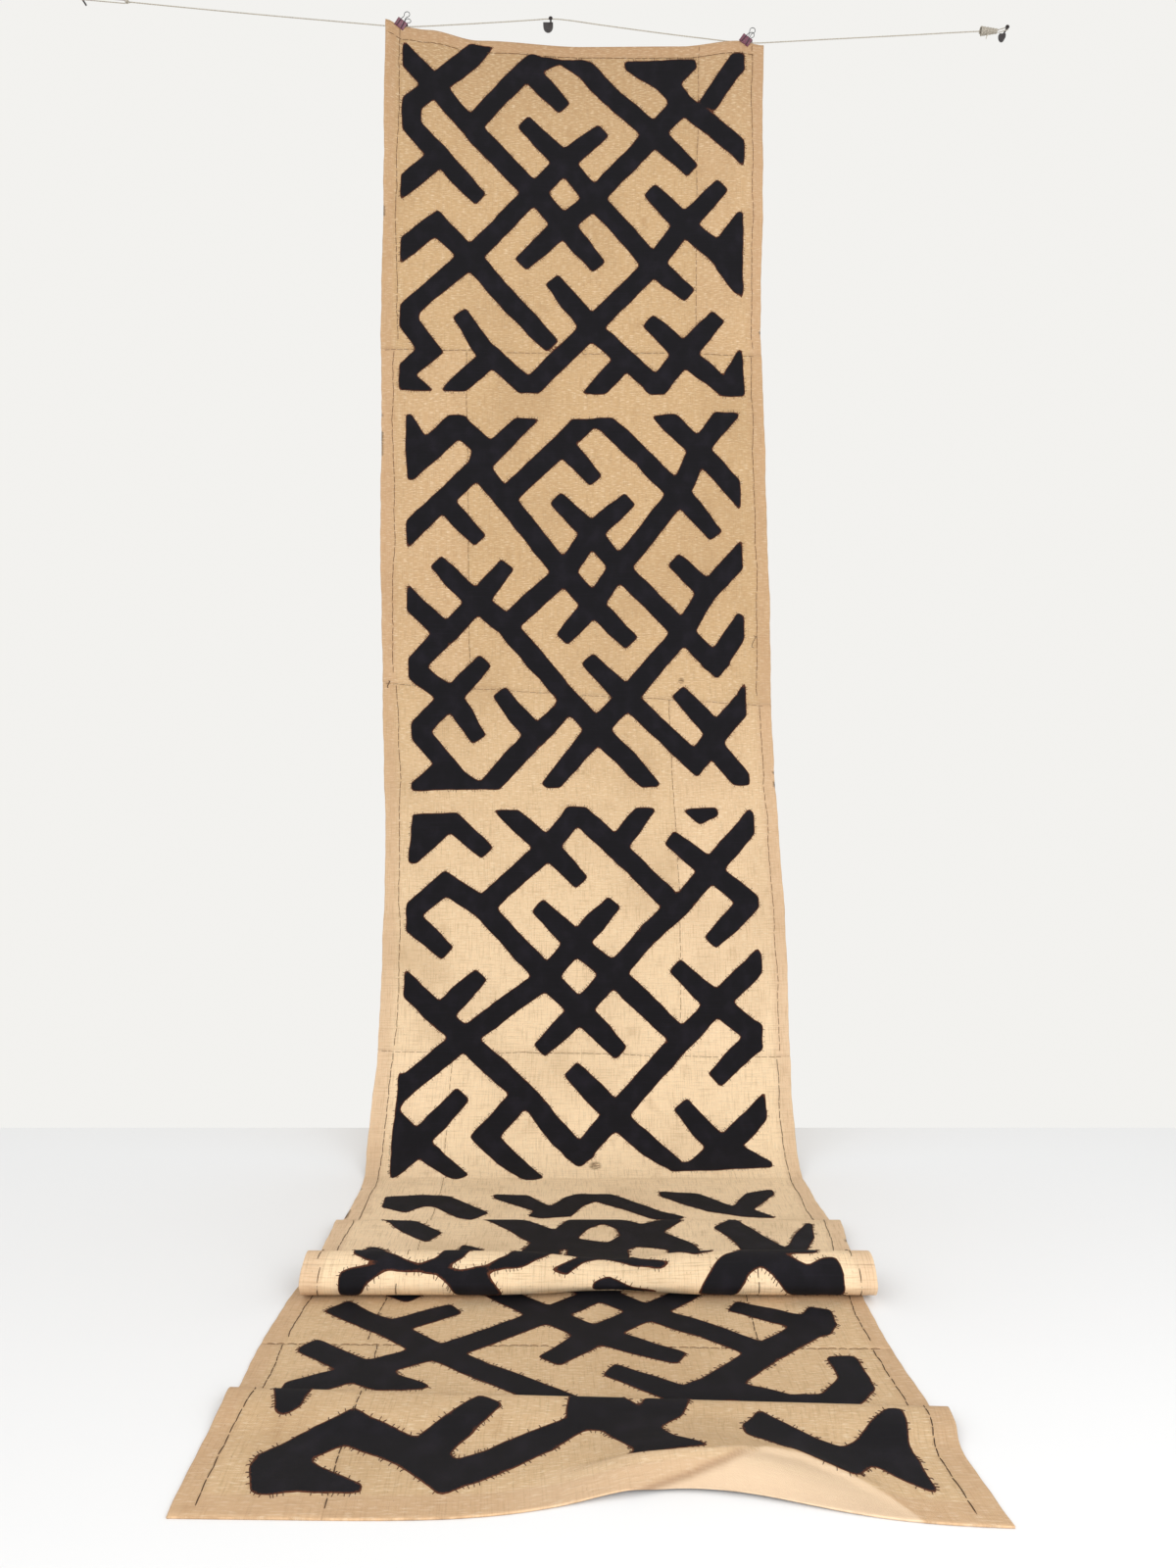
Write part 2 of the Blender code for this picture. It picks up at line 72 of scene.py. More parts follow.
# The side profile of the cloth: name, forward, lean, height, centre and width of each line across it
PROFILE = (
    ("top edge", 20, 0, 1867, 41, 652),
    ("top hem", 20, 0, 1846, 41, 651),
    ("upper hang", 24, 0, 1600, 38, 650),
    ("second hang", 32, 0, 1330, 36, 647),
    ("middle hang", 41, 0, 930, 43, 655),
    ("lower hang", 48, 0, 735, 46, 651),
    ("first bend", 72, 0, 510, 55, 650),
    ("second bend", 97, 0, 350, 59, 656),
    ("third bend", 137, 0, 155, 57, 657),
    ("heel", 192, 0, 40, 55, 660),
    ("landing", 262, 0, REST, 58, 650),
    ("first floor run", 380, 0, REST, 60, 645),
    ("first floor end", 482, 0, REST + 0.5, 62, 652),
    ("front fold", 493, 0, 3.2, 63, 655),
    ("short back run", 481, 0, 5.6, 63, 658),
    ("back fold", 461, 0, 8.0, 65, 662),
    ("top run start", 474, 0, 10.4, 65, 660),
    ("top run", 560, 0, 11.5, 63, 646),
    ("roll rise", 622, 0, 18, 62, 638),
    ("roll shoulder", 648, 0, 36, 63, 639),
    ("roll crest", 672, 0, 45, 64, 640),
    ("roll brow", 696, 0, 37, 64, 640),
    ("roll nose", 706, 0, 21, 64, 641),
    ("roll foot", 697, 0, 8.5, 64, 641),
    ("under run start", 676, 0, 5.4, 63, 642),
    ("under run end", 527, 0, 5.4, 62, 645),
    ("hidden back fold", 516, 0, 3.2, 62, 645),
    ("floor run start", 528, 0, REST, 62, 645),
    ("floor run middle", 740, 0, REST, 50, 643),
    ("floor run end", 934, 36, REST + 0.3, 57, 645),
    ("tuck front", 944, 36, 3.0, 57, 646),
    ("tuck back run", 936, 36, 5.3, 58, 650),
    ("tuck back fold", 925, 36, 7.4, 60, 660),
    ("end run start", 934, 36, 9.5, 60, 660),
    ("end run fall", 957, 34, 7.6, 59, 657),
    ("end run floor", 990, 25, REST + 0.4, 57, 653),
    ("border", 1062, 14, REST, 61, 653),
    ("end hem", 1104, 14, REST, 64, 653),
)
NAMES = tuple(row[0] for row in PROFILE)
LAST_LINE = len(PROFILE) - 1

# How far the top edge hangs above or below its mean line, from the left corner to the right corner
TOP_EDGE_SAG = ((0.0, 44), (0.05, 30), (0.11, 25), (0.25, 6), (0.52, -5), (0.78, -4), (0.93, 6), (1.0, -2))
TOP_SAG_FADE = 420.0


@dataclass(frozen=True)
class LocalShape:
    """A dent, bite or arch: where across the cloth, how wide, and how far each line moves there.

    moves holds the profile line's name, then its forward and upward movement in mm.
    """

    at: float
    left: float
    right: float
    moves: tuple[tuple[str, float, float], ...]


ROLL_DENT = LocalShape(0.54, 0.10, 0.10, (
    ("roll rise", 4, 2), ("roll shoulder", 0, -8), ("roll crest", -6, -13),
    ("roll brow", -12, -11), ("roll nose", -15, -5), ("roll foot", -11, 2)))
END_BITE = LocalShape(0.62, 0.18, 0.20, (("end run floor", -4, 3), ("border", -22, 0), ("end hem", -44, 0)))
END_ARCH = LocalShape(0.68, 0.17, 0.13, (
    ("end run fall", 0, 1), ("end run floor", 0, 8), ("border", 0, 21), ("end hem", 0, 3)))
RIPPLE = 3.0

# Seams between the panels: the profile line above, and how far along to the next, at each edge
SEAMS = (
    ("top edge", 0.0, 0.0),
    ("panels 1 and 2", 2.99, 3.02),
    ("panels 2 and 3", 4.86, 5.05),
    ("panels 3 and 4", 7.95, 8.0),
    ("panels 4 and 5", 20.8, 20.8),
    ("panels 5 and 6", 28.35, 28.35),
    ("end hem", 37.0, 37.0),
)


# Numbers on whole arrays

def bell(value: Array, centre: float, left: float, right: float) -> Array:
    """One at the centre, falling as exp(-(distance / spread) squared) on either side."""
    return np.exp(-((value - centre) / np.where(value < centre, left, right)) ** 2)


def smooth_step(value: Array, low: Array | float, high: Array | float) -> Array:
    """Nought below low and one above high, with the cubic 3x^2 - 2x^3 between them."""
    part = np.clip((value - low) / (high - low), 0.0, 1.0)
    return part * part * (3.0 - 2.0 * part)


def window(value: Array, start: tuple[float, float], stop: tuple[float, float]) -> Array:
    """A smooth rise from nought to one over the start span and a smooth fall back over the stop span."""
    return smooth_step(value, *start) * (1.0 - smooth_step(value, *stop))


def smooth_table(table: Sequence[tuple[float, float]], place: Array) -> Array:
    """Read a short table of (place, value) pairs with a smooth step between neighbours.

    Args:
        table: Pairs in order of place.
        place: Where to read it.

    Returns:
        The value at each place.
    """
    at, value = np.array(table, float).T
    left = np.clip(np.searchsorted(at, place, side="left") - 1, 0, len(at) - 2)
    return value[left] + (value[left + 1] - value[left]) * smooth_step(place, at[left], at[left + 1])


def travelled(points: Array) -> Array:
    """Distance from a route's start to each of its points: the running sum of its steps' lengths."""
    return np.concatenate([[0.0], np.cumsum(np.linalg.norm(np.diff(points, axis=0), axis=1))])


def off_segment(t: Array, s: Array, start: Array, end: Array) -> tuple[Array, Array, float]:
    """Measure places against a segment.

    Args:
        t: Places across.
        s: Places along the cloth.
        start: The segment's start (t, s).
        end: The segment's end (t, s).

    Returns:
        Distance along the segment, signed distance off it, and the segment's length.
    """
    ahead = end - start
    length = float(np.hypot(*ahead))
    along = ((t - start[0]) * ahead[0] + (s - start[1]) * ahead[1]) / length
    off = ((s - start[1]) * ahead[0] - (t - start[0]) * ahead[1]) / length
    return along, off, length


def unit(vectors: Array) -> Array:
    """Vectors divided by their own lengths."""
    return vectors / np.maximum(np.linalg.norm(vectors, axis=-1, keepdims=True), 1e-12)


class Waves:
    """A seeded sum of sines over the plane, from about minus one to one."""

    def __init__(self, seed: int, longest: float, shortest: float, count: int = 7) -> None:
        """Draw each wave's length, direction and phase."""
        draw = np.random.default_rng(seed)
        length = np.geomspace(longest, shortest, count)
        turn = draw.uniform(0.0, math.tau, count)
        self.across = math.tau * np.cos(turn) / length
        self.along = math.tau * np.sin(turn) / length
        self.phase = draw.uniform(0.0, math.tau, count)
        self.share = np.sqrt(length) / np.sqrt(length).sum() * 1.8

    def __call__(self, t: Array, s: Array) -> Array:
        """Sum over the waves of share * sin(across * t + along * s + phase)."""
        total = np.zeros(np.broadcast(t, s).shape)
        for across, along, phase, share in zip(self.across, self.along, self.phase, self.share):
            total = total + share * np.sin(across * t + along * s + phase)
        return total


# Meshes

def grid_faces(rows: int, columns: int, wrap: bool = False, start: int = 0) -> Array:
    """Quads of a grid of points, whose faces look along (next row) x (next column).

    Args:
        rows: Number of rows of points.
        columns: Number of points in a row.
        wrap: Whether the last column joins the first.
        start: Index of the grid's first point.

    Returns:
        An array of four indices a face.
    """
    across = columns if wrap else columns - 1
    row, column = np.meshgrid(np.arange(rows - 1), np.arange(across), indexing="ij")
    here, after = row * columns + column, row * columns + (column + 1) % columns
    return np.stack([here, here + columns, after + columns, after], axis=-1).reshape(-1, 4) + start


def grid_caps(rows: int, sides: int) -> list[Array]:
    """Fans that close both ends of a wrapped grid, whose two tips come right after its points.

    Args:
        rows: Number of rings of points.
        sides: Number of points in a ring.

    Returns:
        Two arrays of three indices a face.
    """
    column = np.arange(sides)
    after = np.roll(column, -1)
    last, tip = (rows - 1) * sides, rows * sides
    return [np.stack([np.full(sides, tip), column, after], axis=-1),
            np.stack([np.full(sides, tip + 1), last + after, last + column], axis=-1)]


def rim(index: Array, inset: int = 0) -> Array:
    """Indices round the rim of a grid of them, or round the rows and columns inset from it."""
    return np.concatenate([index[inset, :-1], index[:-1, -1 - inset],
                           index[-1 - inset, :0:-1], index[:0:-1, inset]])


def make_object(name: str, points: Array, faces: Iterable[Array], material: Material,
                place: Array | None = None, smooth: bool = True, **values: Array) -> Piece:
    """Make a mesh object from whole arrays.

    Args:
        name: The object's name.
        points: Points in mm.
        faces: Arrays of three or four indices a face.
        material: Its one material.
        place: For each point its t and s in mm, kept as the UV map in metres.
        smooth: Whether it is shaded smooth.
        values: Named numbers for each point, kept as attributes.

    Returns:
        The linked object, at the origin.
    """
    mesh = bpy.data.meshes.new(name)
    sides = [face for block in faces for face in np.asarray(block).tolist()]
    mesh.from_pydata((np.asarray(points).reshape(-1, 3) * MM).tolist(), [], sides)
    if place is not None:
        corner = np.empty(len(mesh.loops), np.int32)
        mesh.loops.foreach_get("vertex_index", corner)
        layer = mesh.uv_layers.new(name="cloth")
        layer.data.foreach_set("uv", (place.reshape(-1, 2)[corner] * MM).astype(np.float32).ravel())
    for label, numbers in values.items():
        attribute = mesh.attributes.new(label, "FLOAT", "POINT")
        attribute.data.foreach_set("value", np.asarray(numbers, np.float32).ravel())
    mesh.polygons.foreach_set("use_smooth", np.full(len(mesh.polygons), smooth))
    mesh.materials.append(material)
    mesh.update()
    thing = bpy.data.objects.new(name, mesh)
    bpy.context.scene.collection.objects.link(thing)
    LOG.info("%s: %d faces", name, len(mesh.polygons))
    return thing


def fit(thing: Piece, node: str = "") -> Piece:
    """Let a piece ride with the part, and take the place of its node if it has one.

    Args:
        thing: The piece.
        node: The node that it replaces, or nothing.

    Returns:
        The same piece.
    """
    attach(thing, "root")
    if node:
        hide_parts(node)
    return thing


def tube(path: Array, radius: Array | float, sides: int, closed: bool = False,
         twist: float = 0.0, plies: int = 0, ply_depth: float = 0.0) -> Mesh:
    """A round cord along a path, as rings of points in planes across it.

    The ring at each point of the path is centre + r (cos(a) side + sin(a) up). With plies, r is
    radius (1 - depth (0.5 - 0.5 cos(plies (a - turn)))), and turn grows by twist for each mm.

    Args:
        path: Points in mm.
        radius: One radius, or one for each point.
        sides: Points in a ring.
        closed: Whether the path's end joins its start.
        twist: Turn of the plies in radians for each mm.
        plies: Number of strands laid together, or 0 for a plain wire.
        ply_depth: Depth of the grooves between the strands, as a share of the radius.

    Returns:
        The points and the blocks of faces.
    """
    ahead = np.roll(path, -1, axis=0) - np.roll(path, 1, axis=0)
    if not closed:
        ahead[0] = path[1] - path[0]
        ahead[-1] = path[-1] - path[-2]
    ahead = unit(ahead)
    axis = np.eye(3)[int(np.argmin(np.abs(ahead).max(axis=0)))]
    side = unit(np.cross(ahead, axis))
    up = np.cross(side, ahead)
    angle = np.arange(sides) / sides * math.tau
    size = np.broadcast_to(np.asarray(radius, float), (len(path),))[:, None]
    if plies:
        groove = 0.5 - 0.5 * np.cos(plies * (angle[None] - twist * travelled(path)[:, None]))
        size = size * (1.0 - ply_depth * groove)
    rings = (path[:, None] + (size * np.cos(angle))[..., None] * side[:, None]
             + (size * np.sin(angle))[..., None] * up[:, None]).reshape(-1, 3)
    faces = [grid_faces(len(path), sides, wrap=True)]
    if closed:
        first = np.arange(sides)
        last = (len(path) - 1) * sides + first
        return rings, [*faces, np.stack([last, first, np.roll(first, -1), np.roll(last, -1)], axis=-1)]
    return np.vstack([rings, path[0], path[-1]]), [*faces, *grid_caps(len(path), sides)]


def turned(profile: Sequence[tuple[float, float]], sides: int) -> Mesh:
    """Turn a profile about an axis that comes out of the wall: (r sin a, -distance, r cos a).

    Args:
        profile: Radius and distance from the wall, from the far end inwards, with radius nought at both ends.
        sides: Points in a ring.

    Returns:
        The points and the blocks of faces.
    """
    radius, distance = np.array(profile[1:-1], float).T[:, :, None]
    angle = np.arange(sides) / sides * math.tau
    rings = np.stack([radius * np.sin(angle), np.broadcast_to(-distance, (len(radius), sides)),
                      radius * np.cos(angle)], axis=-1)
    tips = [(0.0, -profile[0][1], 0.0), (0.0, -profile[-1][1], 0.0)]
    return np.vstack([rings.reshape(-1, 3), tips]), [grid_faces(len(rings), sides, wrap=True),
                                                     *grid_caps(len(rings), sides)]


def smooth_path(route: Array, spacing: float) -> Array:
    """Points at even spacing along the Catmull-Rom curve through a route's own points.

    Args:
        route: The route's points in mm.
        spacing: Wanted distance between the new points in mm.

    Returns:
        The new points.
    """
    route = np.asarray(route, float)
    padded = np.vstack([route[0], route, route[-1]])
    part = np.linspace(0.0, 1.0, 16, endpoint=False)[:, None]
    fine = []
    for before, start, end, after in zip(padded, padded[1:], padded[2:], padded[3:]):
        fine.append(0.5 * (2 * start + (end - before) * part
                           + (2 * before - 5 * start + 4 * end - after) * part ** 2
                           + (3 * start - before - 3 * end + after) * part ** 3))
    fine = np.vstack(fine + [route[-1:]])
    run = travelled(fine)
    goal = np.linspace(0.0, run[-1], max(3, round(run[-1] / spacing) + 1))
    return np.stack([np.interp(goal, run, fine[:, axis]) for axis in range(3)], axis=-1)


# The cloth's surface

class Drape:
    """The cloth's middle surface, its normals, and the small relief of its creases and puckers."""

    CUT_SAMPLES = 20001
    ROW_SAMPLES = 6000
    FINE_TURN = 7.0
    HANG_START = 60.0
    HANG_LENGTH = 1650.0
    RIPPLE_TURNS = 1.45
    RIPPLE_PHASE = 0.12
    BROAD_RISE = 0.75
    BROAD_STRETCH = 0.45
    SMALL_RISE = 0.40
    PUCKER_RISE = 0.55
    PUCKER_REACH = 13.0
    PLEAT_SCALE = 3.4
    RESTING_FROM = (1780.0, 1900.0)
    RESTING_LIFT = 0.75
    RELIEF_SHARE = ((0, 0.0), (45, 0.0), (130, 1.0), (1880, 1.0), (2040, 0.4), (2130, 0.1), (2205, 0.1),
                    (2290, 0.4), (2380, 0.7), (2425, 0.4), (2438, 0.0), (2690, 0.0), (2760, 0.6), (2990, 0.5),
                    (3030, 0.0), (3075, 0.1), (3130, 0.7), (3217, 0.5))

    def __init__(self) -> None:
        """Measure the cloth's cut length at mid width and draw the waves of its relief."""
        self.lines = np.linspace(0.0, LAST_LINE, self.CUT_SAMPLES)
        self.cut = travelled(self.surface(self.lines, np.full_like(self.lines, 0.5)))
        self.broad = Waves(SEED, 420.0, 90.0)
        self.small = Waves(SEED + 1, 85.0, 24.0, 9)
        self.pucker = Waves(SEED + 2, 33.0, 13.0, 5)

    @staticmethod
    def knots(index: Array, place: Array) -> Array:
        """Work out the profile lines at places across them.

        forward + lean * (place - 1/2), and each local shape adds its movement times its bell.

        Args:
            index: Whole numbers of profile lines.
            place: Places across the cloth, from 0 to 1.

        Returns:
            Forward, height, centre and width in mm.
        """
        base = np.array([row[1:6] for row in PROFILE], float)[index]
        forward = base[..., 0] + base[..., 1] * (place - 0.5)
        height = base[..., 2].copy()
        for shape in (ROLL_DENT, END_BITE, END_ARCH):
            amount = bell(place, shape.at, shape.left, shape.right)
            moves = {name: (ahead, up) for name, ahead, up in shape.moves}
            shift = np.array([moves.get(name, (0.0, 0.0)) for name in NAMES], float)[index]
            forward = forward + shift[..., 0] * amount
            height = height + shift[..., 1] * amount
        return np.stack([forward, height, base[..., 3], base[..., 4]], axis=-1)

    def surface(self, line: Array, place: Array) -> Array:
        """Points of the middle surface, in mm.

        A cubic runs through neighbouring profile lines, with slopes along the chord between the lines
        on either side. The top edge's sag fades with the drop, and a slow wave ripples the hanging part.

        Args:
            line: Profile line numbers, with fractions between the lines.
            place: Places across the cloth, from 0 to 1.

        Returns:
            The points.
        """
        line, place = np.broadcast_arrays(np.asarray(line, float), np.asarray(place, float))
        index = np.clip(line.astype(int), 0, LAST_LINE - 1)
        part = (line - index)[..., None]
        knot = [self.knots(np.clip(index + step, 0, LAST_LINE), place) for step in (-1, 0, 1, 2)]
        steps = [knot[i + 1] - knot[i] for i in range(3)]
        chord = [np.maximum(np.hypot(step[..., 0], step[..., 1]), 1e-6)[..., None] for step in steps]
        straight = (knot[2] - knot[1]) / chord[1]
        slope_in = np.where((index > 0)[..., None], (knot[2] - knot[0]) / (chord[0] + chord[1]), straight)
        slope_out = np.where((index < LAST_LINE - 1)[..., None],
                             (knot[3] - knot[1]) / (chord[1] + chord[2]), straight)
        square, cube = part ** 2, part ** 3
        blend = (knot[1] * (2 * cube - 3 * square + 1) + slope_in * chord[1] * (cube - 2 * square + part)
                 + knot[2] * (3 * square - 2 * cube) + slope_out * chord[1] * (cube - square))
        forward, height, centre, width = np.moveaxis(blend, -1, 0)
        drop = np.maximum(0.0, PROFILE[0][3] - height)
        height = height + smooth_table(TOP_EDGE_SAG, place) * np.maximum(0.0, 1.0 - drop / TOP_SAG_FADE)
        hang = np.sin(np.pi * np.clip((drop - self.HANG_START) / self.HANG_LENGTH, 0.0, 1.0))
        ripple = np.sin(math.tau * (self.RIPPLE_TURNS * place + self.RIPPLE_PHASE))
        forward = forward + RIPPLE * hang * ripple
        height = np.maximum(height, REST)
        return np.stack([centre + (place - 0.5) * width, -forward, FLOOR_Z + height], axis=-1)

    def line_at(self, s: Array) -> Array:
        """Profile line numbers at distances along the cloth."""
        return np.interp(s, self.cut, self.lines)

    def along(self, line: Array) -> Array:
        """Distances along the cloth at profile line numbers."""
        return np.interp(line, self.lines, self.cut)

    def seam(self, number: int, t: Array | float) -> Array:
        """Distance along the cloth of a cross seam at places t across it."""
        _, left, right = SEAMS[number]
        return self.along(left + (right - left) * np.asarray(t, float) / CLOTH_WIDTH)

    def relief(self, t: Array, s: Array) -> Array:
        """Height of the creases above the middle surface, in mm.

        Broad and small waves, puckers that die away from each cross seam, the creases and the end pleat,
        all times the share of relief there, which is low at the end: PLEAT_SCALE makes up for it. Where
        the cloth lies on the floor or on itself the relief only lifts it.

        Args:
            t: Places across the cloth in mm.
            s: Places along the cloth in mm.

        Returns:
            The height at each place.
        """
        waves = self.BROAD_RISE * self.broad(t, s * self.BROAD_STRETCH) + self.SMALL_RISE * self.small(t, s)
        for number in range(1, len(SEAMS) - 1):
            near = np.exp(-((s - self.seam(number, t)) / self.PUCKER_REACH) ** 2)
            waves = waves + self.PUCKER_RISE * near * self.pucker(t, 0.0 * s)
        for crease in CREASES:
            waves = waves + crease.height(t, s)
        waves = waves + self.PLEAT_SCALE * PLEAT.height(t, s)
        resting = smooth_step(s, *self.RESTING_FROM)
        share = smooth_table(self.RELIEF_SHARE, s)
        return share * (waves * (1.0 - 0.5 * resting) + self.RESTING_LIFT * resting)

    def on_cloth(self, t: Array, s: Array, lift: Array | float) -> Array:
        """Points at a height above the creased middle surface: point + (relief + lift) * normal.

        Args:
            t: Places across the cloth in mm.
            s: Places along the cloth in mm.
            lift: Height above the middle of the cloth in mm, towards its front.

        Returns:
            The points in mm.
        """
        t, s, lift = np.broadcast_arrays(np.asarray(t, float), np.asarray(s, float), np.asarray(lift, float))
        line, place = self.line_at(s), t / CLOTH_WIDTH
        line_step, place_step = 0.012, 0.002
        down = (self.surface(np.clip(line + line_step, 0, LAST_LINE), place)
                - self.surface(np.clip(line - line_step, 0, LAST_LINE), place))
        right = self.surface(line, place + place_step) - self.surface(line, place - place_step)
        normal = unit(np.cross(down, right))
        return self.surface(line, place) + (self.relief(t, s) + lift)[..., None] * normal

    def rows(self, low: float, high: float, row_step: float = 11.0) -> Array:
        """Profile line numbers between two others, close together where the cloth turns.

        Each small step counts as its length / row_step plus its turn in degrees / FINE_TURN, and a row
        stands wherever the running count is whole.

        Args:
            low: The first profile line number.
            high: The last one.
            row_step: Distance between rows on straight cloth in mm.

        Returns:
            The line numbers.
        """
        fine = np.linspace(low, high, self.ROW_SAMPLES)
        steps = np.diff(self.surface(fine, np.full_like(fine, 0.5)), axis=0)
        ahead = unit(steps)
        turn = np.degrees(np.arccos(np.clip((ahead[1:] * ahead[:-1]).sum(axis=1), -1.0, 1.0)))
        count = np.linalg.norm(steps, axis=1) / row_step
        count[1:] += turn / self.FINE_TURN
        run = np.concatenate([[0.0], np.cumsum(count)])
        goal = np.linspace(0.0, run[-1], max(4, round(run[-1]) + 1))
        return np.interp(goal, run, fine)


@dataclass(frozen=True)
class EndPleat:
    """Where the end border folds over itself: a band on the left, and the pale facet that it overlaps.
    The facet's pale tone, weaker on the band, is painted light, and the dark line under the band's front
    edge is painted shadow.

    back, lip and brow are (t, s) places, along the band's upper edge, its front edge and the facet's upper
    edge on the right. corner is the place across where the band meets the brow. Each span is where its
    form rises and where it falls away across the cloth, and each edge is how softly it does so along it.
    """

    back: Route = ((286, 3192), (300, 3178), (366, 3179), (400, 3183), (434, 3183), (476, 3173))
    lip: Route = ((330, 3226), (372, 3217), (412, 3206), (442, 3195), (468, 3181), (476, 3173))
    brow: Route = ((476, 3173), (508, 3167), (544, 3183), (565, 3197), (585, 3214), (592, 3232))
    corner: float = 476.0
    band_span: Route = ((300.0, 372.0), (462.0, 482.0))
    brow_span: Route = ((460.0, 486.0), (566.0, 590.0))
    shadow_span: Route = ((350.0, 380.0), (452.0, 478.0))
    colour_edge: tuple[float, float] = (-0.8, 1.6)
    rise: float = 4.6
    ridge: float = 3.4
    shadow_off: float = 1.4
    shadow_width: float = 3.0

    @staticmethod
    def beyond(route: Route, t: Array, s: Array) -> Array:
        """How far places lie past a route, towards the end of the cloth."""
        return s - np.interp(t, [point[0] for point in route], [point[1] for point in route])

    def height(self, t: Array, s: Array) -> Array:
        """Height of the band and of the ridge at the brow, before the share of relief.

        rise times a step up at the band's upper edge and a sharper one down at its front edge, plus
        ridge * exp(-(distance from the brow / width)^2), which is wider above the brow than below it.

        Args:
            t: Places across the cloth in mm.
            s: Places along the cloth in mm.

        Returns:
            The height at each place in mm.
        """
        past, ahead = self.beyond(self.back, t, s), -self.beyond(self.lip, t, s)
        band = window(t, *self.band_span) * smooth_step(past, -4.0, 7.0) * smooth_step(ahead, -4.5, 3.5)
        beside = self.beyond(self.brow, t, s)
        brow = window(t, *self.brow_span) * np.exp(-(beside / np.where(beside < 0, 13.0, 4.5)) ** 2)
        return self.rise * band + self.ridge * brow

    def facet(self, t: Array, s: Array) -> Array:
        """Painted light: one on the pale facet, less on the band, nought elsewhere."""
        left = t < self.corner
        top = np.where(left, self.beyond(self.lip, t, s), self.beyond(self.brow, t, s))
        shown = smooth_step(top, *self.colour_edge) * smooth_step(t, 366.0, 374.0)
        band = smooth_step(self.beyond(self.back, t, s), *self.colour_edge)
        band = band * smooth_step(t, 240.0, 300.0) * left
        return np.maximum(shown, 0.3 * band)

    def line(self, t: Array, s: Array) -> Array:
        """Painted shadow: one in the shade under the band's front edge, exp(-(distance to it / width)^2)."""
        off = self.beyond(self.lip, t, s) - self.shadow_off
        return window(t, *self.shadow_span) * np.exp(-(off / self.shadow_width) ** 2)


@dataclass(frozen=True)
class Crease:
    """A soft ridge, or a trough where the rise is below nought, from one place on the cloth to another."""

    name: str
    start: tuple[float, float]
    end: tuple[float, float]
    rise: float
    width: float

    def height(self, t: Array, s: Array) -> Array:
        """rise * exp(-(distance to the crease / width)^2), fading towards both ends."""
        along, off, length = off_segment(t, s, np.array(self.start), np.array(self.end))
        fade = window(along / length, (-0.15, 0.2), (0.8, 1.15))
        return self.rise * fade * np.exp(-(off / self.width) ** 2)


PLEAT = EndPleat()
CREASES = (
    Crease("left of the roll dent", (245, 2428), (348, 2396), 1.8, 7.0),
    Crease("right of the roll dent", (352, 2398), (450, 2424), 1.6, 7.0),
    Crease("upper fold mark", (30, 262), (640, 270), -0.9, 6.0),
    Crease("second fold mark", (20, 815), (640, 822), 0.9, 7.0),
    Crease("third fold mark", (10, 1408), (645, 1415), -0.9, 7.0),
    Crease("left flute above the floor", (120, 1700), (92, 1960), 2.6, 22.0),
    Crease("middle flute above the floor", (330, 1740), (322, 1965), -2.0, 26.0),
    Crease("right flute above the floor", (540, 1690), (566, 1960), 2.4, 24.0),
    Crease("left ruck on the last run", (60, 2790), (230, 2835), 1.4, 9.0),
    Crease("right ruck on the last run", (420, 2850), (600, 2815), 1.2, 9.0),
)


# Shader maths

class Socket:
    """A shader value. Arithmetic on it adds Math nodes."""

    def __init__(self, tree: Shader, link: bpy.types.NodeSocket) -> None:
        """Keep the node tree and the output socket."""
        self.tree = tree
        self.link = link

    def __add__(self, other: Socket | float) -> Socket:
        """This plus the other."""
        return self.tree.math("ADD", self, other)

    __radd__ = __add__

    def __sub__(self, other: Socket | float) -> Socket:
        """This less the other."""
        return self.tree.math("SUBTRACT", self, other)

    def __rsub__(self, other: float) -> Socket:
        """The other less this."""
        return self.tree.math("SUBTRACT", other, self)

    def __mul__(self, other: Socket | float) -> Socket:
        """This times the other."""
        return self.tree.math("MULTIPLY", self, other)

    __rmul__ = __mul__

Value = Socket | float | tuple[float, ...]


